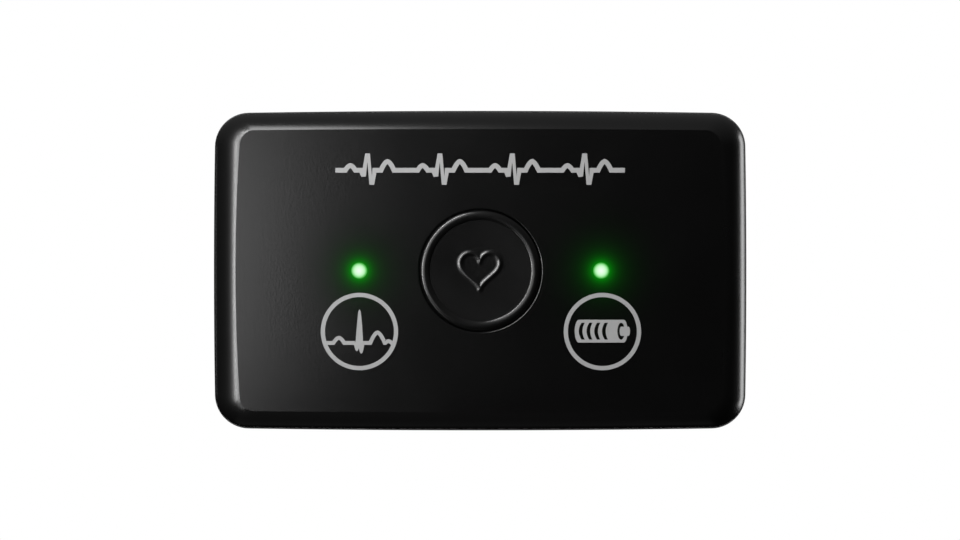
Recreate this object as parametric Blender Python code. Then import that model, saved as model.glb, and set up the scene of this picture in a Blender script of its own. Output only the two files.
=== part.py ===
"""A chest-worn ECG recorder: two moulded halves round a board, a flat cell, a press button and snap sockets.

It is drawn lying on its back, with x to the right, y up the face and z out of the face. The empty that
carries everything then stands it up, so in the world the face looks along -Y and the top is at +Z. The
origin is the middle of the flat back face, which lies towards the skin. Lengths are in metres."""

import math
from dataclasses import dataclass

import bmesh
import bpy
from mathutils import Vector

MM = 0.001

# Fits
SEAT_GAP = 0.05 * MM  # between faces that rest on each other
RUNNING_GAP = 0.15 * MM  # round what slides
LOOSE_GAP = 0.4 * MM  # round what only has to clear
OVERRUN = 1.0 * MM  # how far a cutter runs past what it cuts
ROOT = 0.3 * MM  # how far a rib or a boss is sunk into the wall that carries it
WELD = 0.00001 * MM

# Outside of the case
CASE_WIDTH = 70.0 * MM
CASE_HEIGHT = 42.0 * MM
CASE_CORNER = 4.5 * MM
SIDE_BOW = 0.13 * MM
END_BOW = 0.245 * MM
SIDE_DRAFT = 0.25 * MM
EDGE_BREAK = 0.2 * MM
BACK_DEPTH = 5.0 * MM  # from the skin face to the parting line

# Front face and the shoulder round it
FACE_SIDE_MARGIN = 3.05 * MM
FACE_END_MARGIN = 2.5 * MM
FACE_SIDE_BOW = 0.53 * MM
FACE_END_BOW = 0.155 * MM
FACE_CORNER = 2.0 * MM
FACE_CROWN = 0.3 * MM
SHOULDER_RISE = 3.6 * MM
SHOULDER_TURN = math.radians(68)  # how far the shoulder has turned where it meets the face

# Skin face and the shoulder round it
BACK_MARGIN = 4.0 * MM
BACK_CORNER = 3.0 * MM
BACK_BOW = 0.1 * MM
BACK_SHOULDER_RISE = 3.0 * MM
BACK_SHOULDER_TURN = math.radians(82)

# Walls
FRONT_WALL = 1.5 * MM
BACK_WALL = 1.5 * MM
OUTER_LIP = 0.85 * MM
INNER_LIP = 0.65 * MM
CEILING_INSET = 1.2 * MM
CEILING_KNEE = 1.8 * MM
FLOOR_INSET = 2.0 * MM
FLOOR_KNEE = 1.6 * MM

# Seal between the halves
SEAL_WIDTH = 0.9 * MM
SEAL_HEIGHT = 0.8 * MM
SEAL_SIDE_GAP = 0.1 * MM
TONGUE_LENGTH = 0.35 * MM

# Case screws
SCREW_SIDE_INSET = 7.0 * MM
SCREW_END_INSET = 7.0 * MM
SCREW_RECESS = 0.25 * MM
SCREW_HEAD_RADIUS = 1.9 * MM
SCREW_HEAD_HEIGHT = 1.3 * MM
SCREW_SHANK_RADIUS = 1.0 * MM
SCREW_LENGTH = 7.4 * MM
SCREW_POINT = 0.4 * MM
HEX_RADIUS = 1.0 * MM
HEX_DEPTH = 0.7 * MM
HEAD_GAP = 0.2 * MM
BOSS_WALL = 1.3 * MM
SCREW_POST_WALL = 0.6 * MM
GUSSET = 1.0 * MM

# Cell
CELL_THICKNESS = 3.8 * MM
CELL_SIDE_GAP = 3.1 * MM
CELL_LOW_GAP = 1.2 * MM
CELL_TOP_INSET = 5.9 * MM
CELL_CORNER = 1.2 * MM
CELL_EDGE = 0.5 * MM
CELL_HEADROOM = 0.3 * MM
TAPE_THICKNESS = 0.3 * MM
TAPE_INSET = 3.0 * MM
CRADLE_WALL = 1.0 * MM
CRADLE_HEIGHT = 1.6 * MM
CRADLE_LENGTH = 6.0 * MM

# Board and its supports
BOARD_THICKNESS = 0.8 * MM
BOARD_GAP = 1.4 * MM
POST_RADIUS = 1.5 * MM
POST_SIDE_INSET = 14.0 * MM
POST_END_INSET = 6.5 * MM

# Switch
SWITCH_SIZE = 6.0 * MM
SWITCH_FLOOR = 0.4 * MM
SWITCH_TRAVEL = 0.4 * MM
DOME_RADIUS = 2.1 * MM
DOME_RISE = 0.45 * MM
DOME_SHEET = 0.1 * MM
PLUNGER_RADIUS = 1.5 * MM
PLUNGER_FLANGE = 0.4 * MM
PLUNGER_FLANGE_HEIGHT = 0.3 * MM
PLUNGER_SPARE = 0.1 * MM  # what stays above the cover when the plunger is down
SWITCH_COVER_SHEET = 0.2 * MM

# Button and its membrane
BUTTON_RADIUS = 7.9 * MM
BUTTON_FLANGE = 0.9 * MM
BUTTON_FLANGE_HEIGHT = 0.8 * MM
BUTTON_STEM_RADIUS = 1.7 * MM
BUTTON_STEM_LENGTH = 0.4 * MM
BEAD_WIDTH = 1.3 * MM
BEAD_HEIGHT = 0.25 * MM
BUTTON_EDGE = 0.25 * MM  # how far the cap's edge lies under the middle of the face
DISH_DEPTH = 0.35 * MM  # from the bead's crest to the middle of the cap
BEAD_STEP = 0.25 * MM  # from the bead's crest to its foot in the dish
NUB_RADIUS = 1.6 * MM
NUB_HEIGHT = 0.9 * MM
MEMBRANE = 0.4 * MM
FOLD_RADIUS = 0.8 * MM  # of the fold that lets the membrane stretch
SEAL_BEAD_WIDTH = 1.2 * MM
SEAL_BEAD_HEIGHT = 0.7 * MM

# Lights
LIGHT_RADIUS = 1.0 * MM
LIGHT_SHIFT = 0.15 * MM  # outwards from the middle between the clamp ring and the board posts
PIPE_BODY_RADIUS = 1.3 * MM
PIPE_FLANGE_RADIUS = 1.7 * MM
PIPE_FLANGE_HEIGHT = 0.6 * MM
PIPE_DOME = 0.08 * MM
LED_LENGTH = 1.6 * MM
LED_WIDTH = 0.8 * MM
LED_HEIGHT = 0.6 * MM
LED_GAP = 0.3 * MM

# Snap sockets
SNAP_SIDE_INSET = 10.5 * MM
SNAP_END_INSET = 10.3 * MM
SNAP_RADIUS = 3.6 * MM
SNAP_FLANGE = 0.8 * MM
SNAP_FLANGE_HEIGHT = 0.6 * MM
SNAP_RECESS = 0.15 * MM
SNAP_HEIGHT = 2.6 * MM
SNAP_CAP = 0.4 * MM
SNAP_LIP = 0.35 * MM
SNAP_MOUTH_RADIUS = 2.05 * MM
SNAP_MOUTH_BREAK = 0.15 * MM
SNAP_WIRE_RADIUS = 0.18 * MM
SNAP_WIRE_SWEEP = math.radians(300)
SNAP_WIRE_GAP = 0.3 * MM
SNAP_WIRE_PLAY = 0.1 * MM
LEAF_THICKNESS = 0.2 * MM
LEAF_WIDTH = 2.4 * MM
LEAF_TAB = 2.4 * MM
LEAF_FOOT = 1.6 * MM

# Charge contacts
CONTACT_COUNT = 4
CONTACT_PITCH = 2.8 * MM
CONTACT_END_INSET = 8.0 * MM
CONTACT_RADIUS = 0.9 * MM
CONTACT_FLANGE = 0.35 * MM
CONTACT_FLANGE_HEIGHT = 0.45 * MM
CONTACT_STEM_RADIUS = 0.5 * MM
CONTACT_RECESS = 0.1 * MM

# Parts on the board
PART_SIDE_INSET = 12.0 * MM  # from the case's side to the middle of a part
PART_END_GAP = 0.6 * MM  # between the parts and the row of screw bosses
PART_EDGE = 0.12 * MM
RADIO_WIDTH = 11.0 * MM
RADIO_LENGTH = 8.0 * MM
RADIO_HEIGHT = 1.6 * MM
PROCESSOR_SIDE = 7.0 * MM
PROCESSOR_HEIGHT = 0.9 * MM
MEMORY_WIDTH = 6.0 * MM
MEMORY_LENGTH = 5.0 * MM
MEMORY_HEIGHT = 0.8 * MM
FRONT_END_SIDE = 5.0 * MM
FRONT_END_HEIGHT = 0.9 * MM
CRYSTAL_WIDTH = 3.2 * MM
CRYSTAL_LENGTH = 1.5 * MM
CRYSTAL_HEIGHT = 0.7 * MM
CRYSTAL_GAP = 1.0 * MM

# Cell connector and leads
SOCKET_WIDTH = 5.0 * MM
SOCKET_LENGTH = 3.4 * MM
SOCKET_HEIGHT = 2.2 * MM
SOCKET_WALL = 0.4 * MM
SOCKET_SIDE_GAP = 0.5 * MM
SOCKET_POST_GAP = 0.5 * MM
PLUG_GAP = 0.05 * MM
PLUG_STICK_OUT = 1.1 * MM
LEAD_RADIUS = 0.45 * MM
LEAD_SPACING = 1.8 * MM
LEAD_GAP = 0.1 * MM
LEAD_REACH = 2.6 * MM  # how far a lead's end pulls its curve straight
LEAD_DROP = 0.4 * MM

# How finely the round shapes are cut
SIDE_STEPS = 2
CORNER_STEPS = 5
SHOULDER_STEPS = 5
CROWN_SHARES = (0.75, 0.5, 0.25)
DISH_SHARES = (0.75, 0.4)
SNAP_DOME_SHARES = (0, 0.35, 0.7, 1)
LARGE_ROUND = 48
MEMBRANE_ROUND = 24
MIDDLE_ROUND = 20
SMALL_ROUND = 16
WIRE_STEPS = 16
BEAD_STEPS = 6
FOLD_STEPS = 6
LEAD_POINTS = 14
SMOOTH_BELOW = math.radians(32)
LEAST_CORNER_SHARE = 0.3

# Heights, from the skin face outwards
HALF_WIDTH = CASE_WIDTH / 2
HALF_HEIGHT = CASE_HEIGHT / 2
FLOOR_Z = BACK_WALL
TAPE_Z = FLOOR_Z + SEAT_GAP
CELL_Z = TAPE_Z + TAPE_THICKNESS + SEAT_GAP
BOARD_Z = CELL_Z + CELL_THICKNESS + CELL_HEADROOM
BOARD_TOP = BOARD_Z + BOARD_THICKNESS
PARTS_Z = BOARD_TOP + SEAT_GAP
POCKET_Z = PARTS_Z + SWITCH_FLOOR
DOME_Z = POCKET_Z + SEAT_GAP
PLUNGER_Z = DOME_Z + DOME_RISE + SEAT_GAP
SWITCH_TOP = PLUNGER_Z + PLUNGER_FLANGE_HEIGHT
SWITCH_COVER_Z = SWITCH_TOP + SEAT_GAP
PLUNGER_TOP = SWITCH_COVER_Z + SWITCH_COVER_SHEET + SWITCH_TRAVEL + PLUNGER_SPARE
NUB_Z = PLUNGER_TOP + SEAT_GAP
STEM_Z = NUB_Z + NUB_HEIGHT + SEAT_GAP
BUTTON_Z = STEM_Z + BUTTON_STEM_LENGTH
CEILING_Z = BUTTON_Z + BUTTON_FLANGE_HEIGHT + RUNNING_GAP
FACE_Z = CEILING_Z + FRONT_WALL
FACE_EDGE_Z = FACE_Z - FACE_CROWN
MEMBRANE_Z = NUB_Z + (NUB_HEIGHT - MEMBRANE) / 2
SEAL_BEAD_Z = NUB_Z + (NUB_HEIGHT - SEAL_BEAD_HEIGHT) / 2
FRONT_RIM_Z = BACK_DEPTH + SEAT_GAP
TONGUE_Z = BACK_DEPTH - TONGUE_LENGTH
SEAL_TOP = TONGUE_Z - SEAT_GAP
SEAL_Z = SEAL_TOP - SEAL_HEIGHT
GROOVE_Z = SEAL_Z - SEAT_GAP
SCREW_SEAT_Z = SCREW_RECESS + SCREW_HEAD_HEIGHT + SEAT_GAP
SNAP_TOP = SNAP_RECESS + SNAP_HEIGHT

# Widths and places across the face
GROOVE_WIDTH = SEAL_WIDTH + 2 * SEAL_SIDE_GAP
RIM_WIDTH = OUTER_LIP + GROOVE_WIDTH + INNER_LIP
INSIDE_HALF_WIDTH = HALF_WIDTH - RIM_WIDTH
INSIDE_HALF_HEIGHT = HALF_HEIGHT - RIM_WIDTH
SCREW_X = HALF_WIDTH - SCREW_SIDE_INSET
SCREW_Y = HALF_HEIGHT - SCREW_END_INSET
BOSS_RADIUS = SCREW_SHANK_RADIUS + SEAT_GAP + BOSS_WALL
COUNTERBORE_RADIUS = SCREW_HEAD_RADIUS + HEAD_GAP
SCREW_POST_RADIUS = COUNTERBORE_RADIUS + SCREW_POST_WALL
POST_X = HALF_WIDTH - POST_SIDE_INSET
POST_Y = HALF_HEIGHT - POST_END_INSET
SNAP_X = HALF_WIDTH - SNAP_SIDE_INSET
LOW_SNAP_Y = SNAP_END_INSET - HALF_HEIGHT
SNAP_FLANGE_RADIUS = SNAP_RADIUS + SNAP_FLANGE
CELL_HALF_WIDTH = SNAP_X - SNAP_FLANGE_RADIUS - CELL_SIDE_GAP
CELL_LOW_Y = LOW_SNAP_Y + SNAP_FLANGE_RADIUS + CELL_LOW_GAP
CELL_TOP_Y = HALF_HEIGHT - CELL_TOP_INSET
CELL_MIDDLE_Y = (CELL_LOW_Y + CELL_TOP_Y) / 2
CONTACT_MIDDLE_X = (SNAP_FLANGE_RADIUS + POST_X - POST_RADIUS) / 2
CONTACT_Y = CONTACT_END_INSET - HALF_HEIGHT
OPENING_RADIUS = BUTTON_RADIUS + RUNNING_GAP
BUTTON_FLANGE_RADIUS = BUTTON_RADIUS + BUTTON_FLANGE
COLLAR_RADIUS = BUTTON_FLANGE_RADIUS + 2 * RUNNING_GAP
COLLAR_OUTSIDE = COLLAR_RADIUS + SEAL_BEAD_WIDTH
LIGHT_X = (COLLAR_OUTSIDE + POST_X) / 2 + LIGHT_SHIFT
PART_X = HALF_WIDTH - PART_SIDE_INSET
PARTS_REACH = SCREW_Y - BOSS_RADIUS - PART_END_GAP  # from the middle to the far side of each row
SOCKET_X = -(CELL_HALF_WIDTH + SOCKET_SIDE_GAP + SOCKET_WIDTH / 2)
SOCKET_Y = POST_Y - POST_RADIUS - SOCKET_POST_GAP - SOCKET_LENGTH / 2
SOCKET_Z = BOARD_Z - SEAT_GAP - SOCKET_HEIGHT
SNAP_PLACES = ((-SNAP_X, 0), (SNAP_X, 0), (0, LOW_SNAP_Y))
QUARTERS = ((-1, 1), (1, 1), (1, -1), (-1, -1))
UPRIGHT = math.radians(90)


@dataclass(frozen=True)
class Outline:
    """A rounded rectangle whose four sides are shallow arcs, with every corner tangent to them."""

    half_width: float
    half_height: float
    side_bow: float
    end_bow: float
    corner: float

    def inset(self, distance):
        """The outline moved inwards by a distance, with its corners drawn in as far as they can be."""
        corner = max(self.corner - distance, self.corner * LEAST_CORNER_SHARE)
        return Outline(
            self.half_width - distance,
            self.half_height - distance,
            self.side_bow,
            self.end_bow,
            corner,
        )

    def towards(self, other, share):
        """The outline that lies this share of the way to another one."""
        pairs = (
            (self.half_width, other.half_width),
            (self.half_height, other.half_height),
            (self.side_bow, other.side_bow),
            (self.end_bow, other.end_bow),
            (self.corner, other.corner),
        )
        return Outline(*(start + (end - start) * share for start, end in pairs))

    def quadrant(self):
        """Points from the middle of the right side round the corner to the middle of the top."""
        out, up = self.side_bow + self.corner, self.end_bow + self.corner
        centre_x, centre_y = self.half_width - out, self.half_height - up
        side_radius = (out**2 + centre_y**2 - self.corner**2) / (2 * self.side_bow)
        end_radius = (up**2 + centre_x**2 - self.corner**2) / (2 * self.end_bow)
        side_turn = math.asin(centre_y / (side_radius - self.corner))
        end_turn = math.asin(centre_x / (end_radius - self.corner))
        points = []
        for step in range(SIDE_STEPS):
            angle = side_turn * step / SIDE_STEPS
            middle = self.half_width - side_radius
            points.append((middle + side_radius * math.cos(angle), side_radius * math.sin(angle)))
        sweep = math.pi / 2 - side_turn - end_turn
        for step in range(CORNER_STEPS + 1):
            angle = side_turn + sweep * step / CORNER_STEPS
            x = centre_x + self.corner * math.cos(angle)
            points.append((x, centre_y + self.corner * math.sin(angle)))
        for step in reversed(range(SIDE_STEPS)):
            angle = end_turn * step / SIDE_STEPS
            middle = self.half_height - end_radius
            points.append((end_radius * math.sin(angle), middle + end_radius * math.cos(angle)))
        return points

    def ring(self, height, scale=1):
        """The whole outline at one height, anticlockwise from the middle of the right side."""
        first = self.quadrant()
        upper = first + [(-x, y) for x, y in reversed(first[:-1])]
        lower = [(x, -y) for x, y in reversed(upper[1:-1])]
        return [Vector((x * scale, y * scale, height)) for x, y in upper + lower]


SILHOUETTE = Outline(HALF_WIDTH, HALF_HEIGHT, SIDE_BOW, END_BOW, CASE_CORNER)
FACE = Outline(
    HALF_WIDTH - FACE_SIDE_MARGIN,
    HALF_HEIGHT - FACE_END_MARGIN,
    FACE_SIDE_BOW,
    FACE_END_BOW,
    FACE_CORNER,
)
SKIN_FACE = Outline(
    HALF_WIDTH - BACK_MARGIN, HALF_HEIGHT - BACK_MARGIN, BACK_BOW, BACK_BOW, BACK_CORNER
)
INSIDE = SILHOUETTE.inset(RIM_WIDTH)


def clear_scene():
    """Empties the scene that the script starts in."""
    for thing in list(bpy.data.objects):
        bpy.data.objects.remove(thing, do_unlink=True)


def material(name, colour, roughness, metallic=0.0, transmission=0.0):
    """A plain surface with the look of one real material."""
    made = bpy.data.materials.new(name)
    made.use_nodes = True
    made.diffuse_color = (*colour, 1)
    surface = made.node_tree.nodes["Principled BSDF"]
    surface.inputs["Base Color"].default_value = (*colour, 1)
    surface.inputs["Roughness"].default_value = roughness
    surface.inputs["Metallic"].default_value = metallic
    surface.inputs["Transmission Weight"].default_value = transmission
    return made


def black_plastic(name, roughness=0.35):
    return material(name, (0.012, 0.012, 0.013), roughness)


def silicone(name, colour=(0.03, 0.03, 0.035)):
    return material(name, colour, 0.6)


def steel(name, roughness=0.3):
    return material(name, (0.62, 0.62, 0.63), roughness, metallic=1.0)


def gold(name):
    return material(name, (0.83, 0.62, 0.28), 0.25, metallic=1.0)


def chip(name):
    return material(name, (0.02, 0.02, 0.022), 0.5)


def clear_plastic(name):
    return material(name, (0.75, 0.95, 0.78), 0.15, transmission=0.6)


def to_mesh(bm, name):
    """Closes off a mesh under construction, with its faces out and its round parts smooth."""
    bmesh.ops.recalc_face_normals(bm, faces=bm.faces)
    mesh = bpy.data.meshes.new(name)
    bm.to_mesh(mesh)
    bm.free()
    mesh.shade_smooth()
    mesh.set_sharp_from_angle(angle=SMOOTH_BELOW)
    return mesh


def lofted(name, rings, bottom=None, top=None, crease=None):
    """A skin through rings of equal length. It closes on the two end points, or else on itself.

    The ring that crease counts keeps a sharp edge, however little the skin turns there."""
    bm = bmesh.new()
    rows = [[bm.verts.new(point) for point in ring] for ring in rings]
    count = len(rows[0])
    pairs = list(zip(rows, rows[1:], strict=False))
    if bottom is None:
        pairs.append((rows[-1], rows[0]))
    for low, high in pairs:
        for at in range(count):
            after = (at + 1) % count
            bm.faces.new((low[at], low[after], high[after], high[at]))
    for row, end in ((rows[0], bottom), (rows[-1], top)):
        if end is None:
            continue
        pole = bm.verts.new(end)
        for at in range(count):
            bm.faces.new((row[at], row[(at + 1) % count], pole))
    mesh = to_mesh(bm, name)
    for edge in mesh.edges:
        if all(index // count == crease for index in edge.vertices):
            edge.use_edge_sharp = True
    return mesh


def turned(name, profile, steps=MIDDLE_ROUND):
    """A shape turned about z from (radius, height) points. A profile off the axis is closed into a ring."""
    bm = bmesh.new()
    points = [bm.verts.new((radius, 0, height)) for radius, height in profile]
    edges = [bm.edges.new(pair) for pair in zip(points, points[1:], strict=False)]
    if profile[0][0] > 0:
        edges.append(bm.edges.new((points[-1], points[0])))
    bmesh.ops.spin(
        bm,
        geom=points + edges,
        cent=(0, 0, 0),
        axis=(0, 0, 1),
        angle=math.tau,
        steps=steps,
        use_merge=True,
    )
    bmesh.ops.remove_doubles(bm, verts=bm.verts, dist=WELD)
    return to_mesh(bm, name)


def cylinder(name, radius, bottom, top, steps=MIDDLE_ROUND):
    return turned(name, [(0, bottom), (radius, bottom), (radius, top), (0, top)], steps)


def tube(name, inner, outer, bottom, top, steps):
    profile = [(inner, bottom), (outer, bottom), (outer, top), (inner, top)]
    return turned(name, profile, steps)


def prism(name, outline, bottom, top):
    """An outline of (x, y) points raised from one height to another."""
    bm = bmesh.new()
    face = bm.faces.new([bm.verts.new((x, y, bottom)) for x, y in outline])
    raised = bmesh.ops.extrude_face_region(bm, geom=[face])["geom"]
    moved = [item for item in raised if isinstance(item, bmesh.types.BMVert)]
    bmesh.ops.translate(bm, verts=moved, vec=(0, 0, top - bottom))
    return to_mesh(bm, name)


def rectangle(width, height, centre=(0, 0)):
    x, y = centre
    return [(x + width / 2 * across, y + height / 2 * up) for across, up in reversed(QUARTERS)]


def block(name, size, bottom, edge=0):
    """A box that stands on a height, with its edges broken where an edge size is given."""
    mesh = prism(name, rectangle(size[0], size[1]), bottom, bottom + size[2])
    if not edge:
        return mesh
    bm = bmesh.new()
    bm.from_mesh(mesh)
    bmesh.ops.bevel(bm, geom=bm.edges, offset=edge, segments=1, affect="EDGES")
    bpy.data.meshes.remove(mesh)
    return to_mesh(bm, name)


class Assembly:
    """The empty that stands the recorder up, and the pieces that it carries."""

    def __init__(self):
        self.root = bpy.data.objects.new("recorder", None)
        self.root.rotation_euler.x = UPRIGHT
        bpy.context.scene.collection.objects.link(self.root)

    def place(self, name, data, at=(0, 0)):
        """Puts a mesh or a curve in the assembly, at a place on the face."""
        thing = bpy.data.objects.new(name, data)
        thing.parent = self.root
        thing.location = (*at, 0)
        bpy.context.scene.collection.objects.link(thing)
        return thing

    def piece(self, name, data, look, at=(0, 0)):
        """One real piece of the recorder."""
        data.materials.append(look)
        return self.place(name, data, at)

    def tool(self, mesh, at=(0, 0)):
        """A shape that only cuts or adds to a piece."""
        thing = self.place(mesh.name, mesh, at)
        thing.hide_render = True
        thing.display_type = "WIRE"
        return thing


def shape(piece, operation, tools):
    """Adds tools to a piece, or cuts them from it, one after the other."""
    for tool in tools:
        step = piece.modifiers.new(f"{operation.lower()} {tool.name}", "BOOLEAN")
        step.operation = operation
        step.solver = "EXACT"
        step.object = tool


def add(piece, *tools):
    shape(piece, "UNION", tools)


def cut(piece, *tools):
    shape(piece, "DIFFERENCE", tools)


def shoulder(low, high, low_z, rise, turn, shares):
    """Rings from the side of the case round to a face, along an arc that stops short of a quarter turn."""
    for share in shares:
        angle = turn * share
        drawn_in = (1 - math.cos(angle)) / (1 - math.cos(turn))
        yield low.towards(high, drawn_in).ring(low_z + rise * math.sin(angle) / math.sin(turn))


def front_cover_rings():
    """Rings from the ceiling inside, down the wall, over the rim with its tongue, and up to the face."""
    tongue_outer = OUTER_LIP + SEAL_SIDE_GAP
    tongue_inner = tongue_outer + SEAL_WIDTH
    side = SILHOUETTE.inset(SIDE_DRAFT)
    rings = [
        INSIDE.inset(CEILING_INSET).ring(CEILING_Z),
        INSIDE.inset(SIDE_DRAFT).ring(CEILING_Z - CEILING_KNEE),
        INSIDE.ring(FRONT_RIM_Z),
        SILHOUETTE.inset(tongue_inner).ring(FRONT_RIM_Z),
        SILHOUETTE.inset(tongue_inner).ring(TONGUE_Z),
        SILHOUETTE.inset(tongue_outer).ring(TONGUE_Z),
        SILHOUETTE.inset(tongue_outer).ring(FRONT_RIM_Z),
        SILHOUETTE.inset(EDGE_BREAK).ring(FRONT_RIM_Z),
        SILHOUETTE.ring(FRONT_RIM_Z + EDGE_BREAK),
    ]
    shares = [step / SHOULDER_STEPS for step in range(SHOULDER_STEPS + 1)]
    start_z = FACE_EDGE_Z - SHOULDER_RISE
    rings += shoulder(side, FACE, start_z, SHOULDER_RISE, SHOULDER_TURN, shares)
    rings += [FACE.ring(face_height(share), share) for share in CROWN_SHARES]
    return rings


def face_height(share):
    """Height of the crowned face at a share of the way from its middle to its edge."""
    return FACE_EDGE_Z + FACE_CROWN * (1 - share**2)


def make_front_cover(assembly):
    """The front half: a shell with screw bosses, posts that press on the board and a collar for the seal."""
    rings = front_cover_rings()
    face_edge = len(rings) - 1 - len(CROWN_SHARES)
    shell = lofted("front_cover", rings, (0, 0, CEILING_Z), (0, 0, FACE_Z), face_edge)
    cover = assembly.piece("front_cover", shell, black_plastic("front cover plastic", 0.3))
    ceiling = CEILING_Z + ROOT
    boss = cylinder("front boss", BOSS_RADIUS, FRONT_RIM_Z, ceiling)
    post = cylinder("front post", POST_RADIUS, BOARD_TOP + SEAT_GAP, ceiling, SMALL_ROUND)
    drill = cylinder(
        "front screw hole",
        SCREW_SHANK_RADIUS + SEAT_GAP,
        FRONT_RIM_Z - OVERRUN,
        SCREW_SEAT_Z + SCREW_LENGTH + LOOSE_GAP,
        SMALL_ROUND,
    )
    gusset_z = BOARD_TOP + LOOSE_GAP
    for across, up in QUARTERS:
        at = (SCREW_X * across, SCREW_Y * up)
        side_reach = INSIDE_HALF_WIDTH - SCREW_X + ROOT
        end_reach = INSIDE_HALF_HEIGHT - SCREW_Y + ROOT
        side_rib = rectangle(side_reach, GUSSET, (across * side_reach / 2, 0))
        end_rib = rectangle(GUSSET, end_reach, (0, up * end_reach / 2))
        add(
            cover,
            assembly.tool(boss, at),
            assembly.tool(prism("front side gusset", side_rib, gusset_z, ceiling), at),
            assembly.tool(prism("front end gusset", end_rib, gusset_z, ceiling), at),
            assembly.tool(post, (POST_X * across, POST_Y * up)),
        )
        cut(cover, assembly.tool(drill, at))
    collar_z = SEAL_BEAD_Z + SEAL_BEAD_HEIGHT + SEAT_GAP
    collar = tube("seal collar", COLLAR_RADIUS, COLLAR_OUTSIDE, collar_z, ceiling, MEMBRANE_ROUND)
    add(cover, assembly.tool(collar))
    over = FACE_Z + OVERRUN
    opening = cylinder("button opening", OPENING_RADIUS, CEILING_Z - OVERRUN, over, LARGE_ROUND)
    light_hole = cylinder("light hole", LIGHT_RADIUS + SEAT_GAP, CEILING_Z - OVERRUN, over)
    cut(cover, assembly.tool(opening))
    for side in (-1, 1):
        cut(cover, assembly.tool(light_hole, (LIGHT_X * side, 0)))


def back_cover_rings():
    """Rings from the floor inside, up the wall, over the rim with its groove, and down to the skin face."""
    groove_inner = OUTER_LIP + GROOVE_WIDTH
    side = SILHOUETTE.inset(SIDE_DRAFT)
    rings = [
        INSIDE.inset(FLOOR_INSET).ring(FLOOR_Z),
        INSIDE.ring(FLOOR_Z + FLOOR_KNEE),
        INSIDE.ring(BACK_DEPTH),
        SILHOUETTE.inset(groove_inner).ring(BACK_DEPTH),
        SILHOUETTE.inset(groove_inner).ring(GROOVE_Z),
        SILHOUETTE.inset(OUTER_LIP).ring(GROOVE_Z),
        SILHOUETTE.inset(OUTER_LIP).ring(BACK_DEPTH),
        SILHOUETTE.inset(EDGE_BREAK).ring(BACK_DEPTH),
        SILHOUETTE.ring(BACK_DEPTH - EDGE_BREAK),
    ]
    shares = [step / SHOULDER_STEPS for step in range(SHOULDER_STEPS + 1)]
    rise = BACK_SHOULDER_RISE
    rings += shoulder(side, SKIN_FACE, rise, -rise, BACK_SHOULDER_TURN, shares)
    return rings


def make_back_cover(assembly):
    """The back half: a tray with holes for sockets, contacts and screws, and posts that carry the board."""
    tray = lofted("back_cover", back_cover_rings(), (0, 0, FLOOR_Z), (0, 0, 0))
    cover = assembly.piece("back_cover", tray, black_plastic("back cover plastic", 0.45))
    floor = FLOOR_Z - ROOT
    screw_post = cylinder("back screw post", SCREW_POST_RADIUS, floor, BACK_DEPTH)
    post = cylinder("back post", POST_RADIUS, floor, BOARD_Z - SEAT_GAP, SMALL_ROUND)
    head_hole = cylinder("screw head hole", COUNTERBORE_RADIUS, -OVERRUN, SCREW_SEAT_Z)
    shank_hole = cylinder(
        "screw shank hole",
        SCREW_SHANK_RADIUS + RUNNING_GAP,
        SCREW_SEAT_Z - OVERRUN,
        BACK_DEPTH + OVERRUN,
        SMALL_ROUND,
    )
    for across, up in QUARTERS:
        at = (SCREW_X * across, SCREW_Y * up)
        add(cover, assembly.tool(screw_post, at))
        add(cover, assembly.tool(post, (POST_X * across, POST_Y * up)))
        cut(cover, assembly.tool(head_hole, at), assembly.tool(shank_hole, at))
    rib_x = CELL_HALF_WIDTH + LOOSE_GAP + CRADLE_WALL / 2
    rib = rectangle(CRADLE_WALL, CRADLE_LENGTH)
    rib_y = CELL_TOP_Y - CRADLE_LENGTH / 2 - LOOSE_GAP
    cradle = prism("cell cradle", rib, floor, FLOOR_Z + CRADLE_HEIGHT)
    for side in (-1, 1):
        add(cover, assembly.tool(cradle, (rib_x * side, rib_y)))
    through = FLOOR_Z + OVERRUN
    snap_hole = cylinder("snap hole", SNAP_RADIUS + SEAT_GAP, -OVERRUN, through)
    for at in SNAP_PLACES:
        cut(cover, assembly.tool(snap_hole, at))
    contact_hole = cylinder("contact hole", CONTACT_RADIUS + SEAT_GAP, -OVERRUN, through, SMALL_ROUND)
    for at in contact_places():
        cut(cover, assembly.tool(contact_hole, at))


def make_perimeter_seal(assembly):
    """The silicone ring that lies in the back half's groove, under the front half's tongue."""
    outer = SILHOUETTE.inset(OUTER_LIP + SEAL_SIDE_GAP)
    inner = SILHOUETTE.inset(OUTER_LIP + SEAL_SIDE_GAP + SEAL_WIDTH)
    rings = [inner.ring(SEAL_Z), outer.ring(SEAL_Z), outer.ring(SEAL_TOP), inner.ring(SEAL_TOP)]
    ring = lofted("perimeter_seal", rings)
    assembly.piece("perimeter_seal", ring, silicone("seal silicone", (0.35, 0.36, 0.38)))


def make_screws(assembly):
    """Four pan-head screws with a hexagon socket, put in from the back."""
    top = SCREW_RECESS + SCREW_HEAD_HEIGHT
    tip = top + SCREW_LENGTH
    profile = [
        (0, SCREW_RECESS),
        (SCREW_HEAD_RADIUS - EDGE_BREAK, SCREW_RECESS),
        (SCREW_HEAD_RADIUS, SCREW_RECESS + EDGE_BREAK),
        (SCREW_HEAD_RADIUS, top),
        (SCREW_SHANK_RADIUS, top),
        (SCREW_SHANK_RADIUS, tip - SCREW_POINT),
        (SCREW_SHANK_RADIUS - SCREW_POINT, tip),
        (0, tip),
    ]
    key = cylinder("hexagon key", HEX_RADIUS, -OVERRUN, SCREW_RECESS + HEX_DEPTH, 6)
    for number, (across, up) in enumerate(QUARTERS, 1):
        at = (SCREW_X * across, SCREW_Y * up)
        name = f"case_screw_{number}"
        screw = assembly.piece(name, turned(name, profile, SMALL_ROUND), steel(f"{name} steel"), at)
        cut(screw, assembly.tool(key, at))


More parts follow.
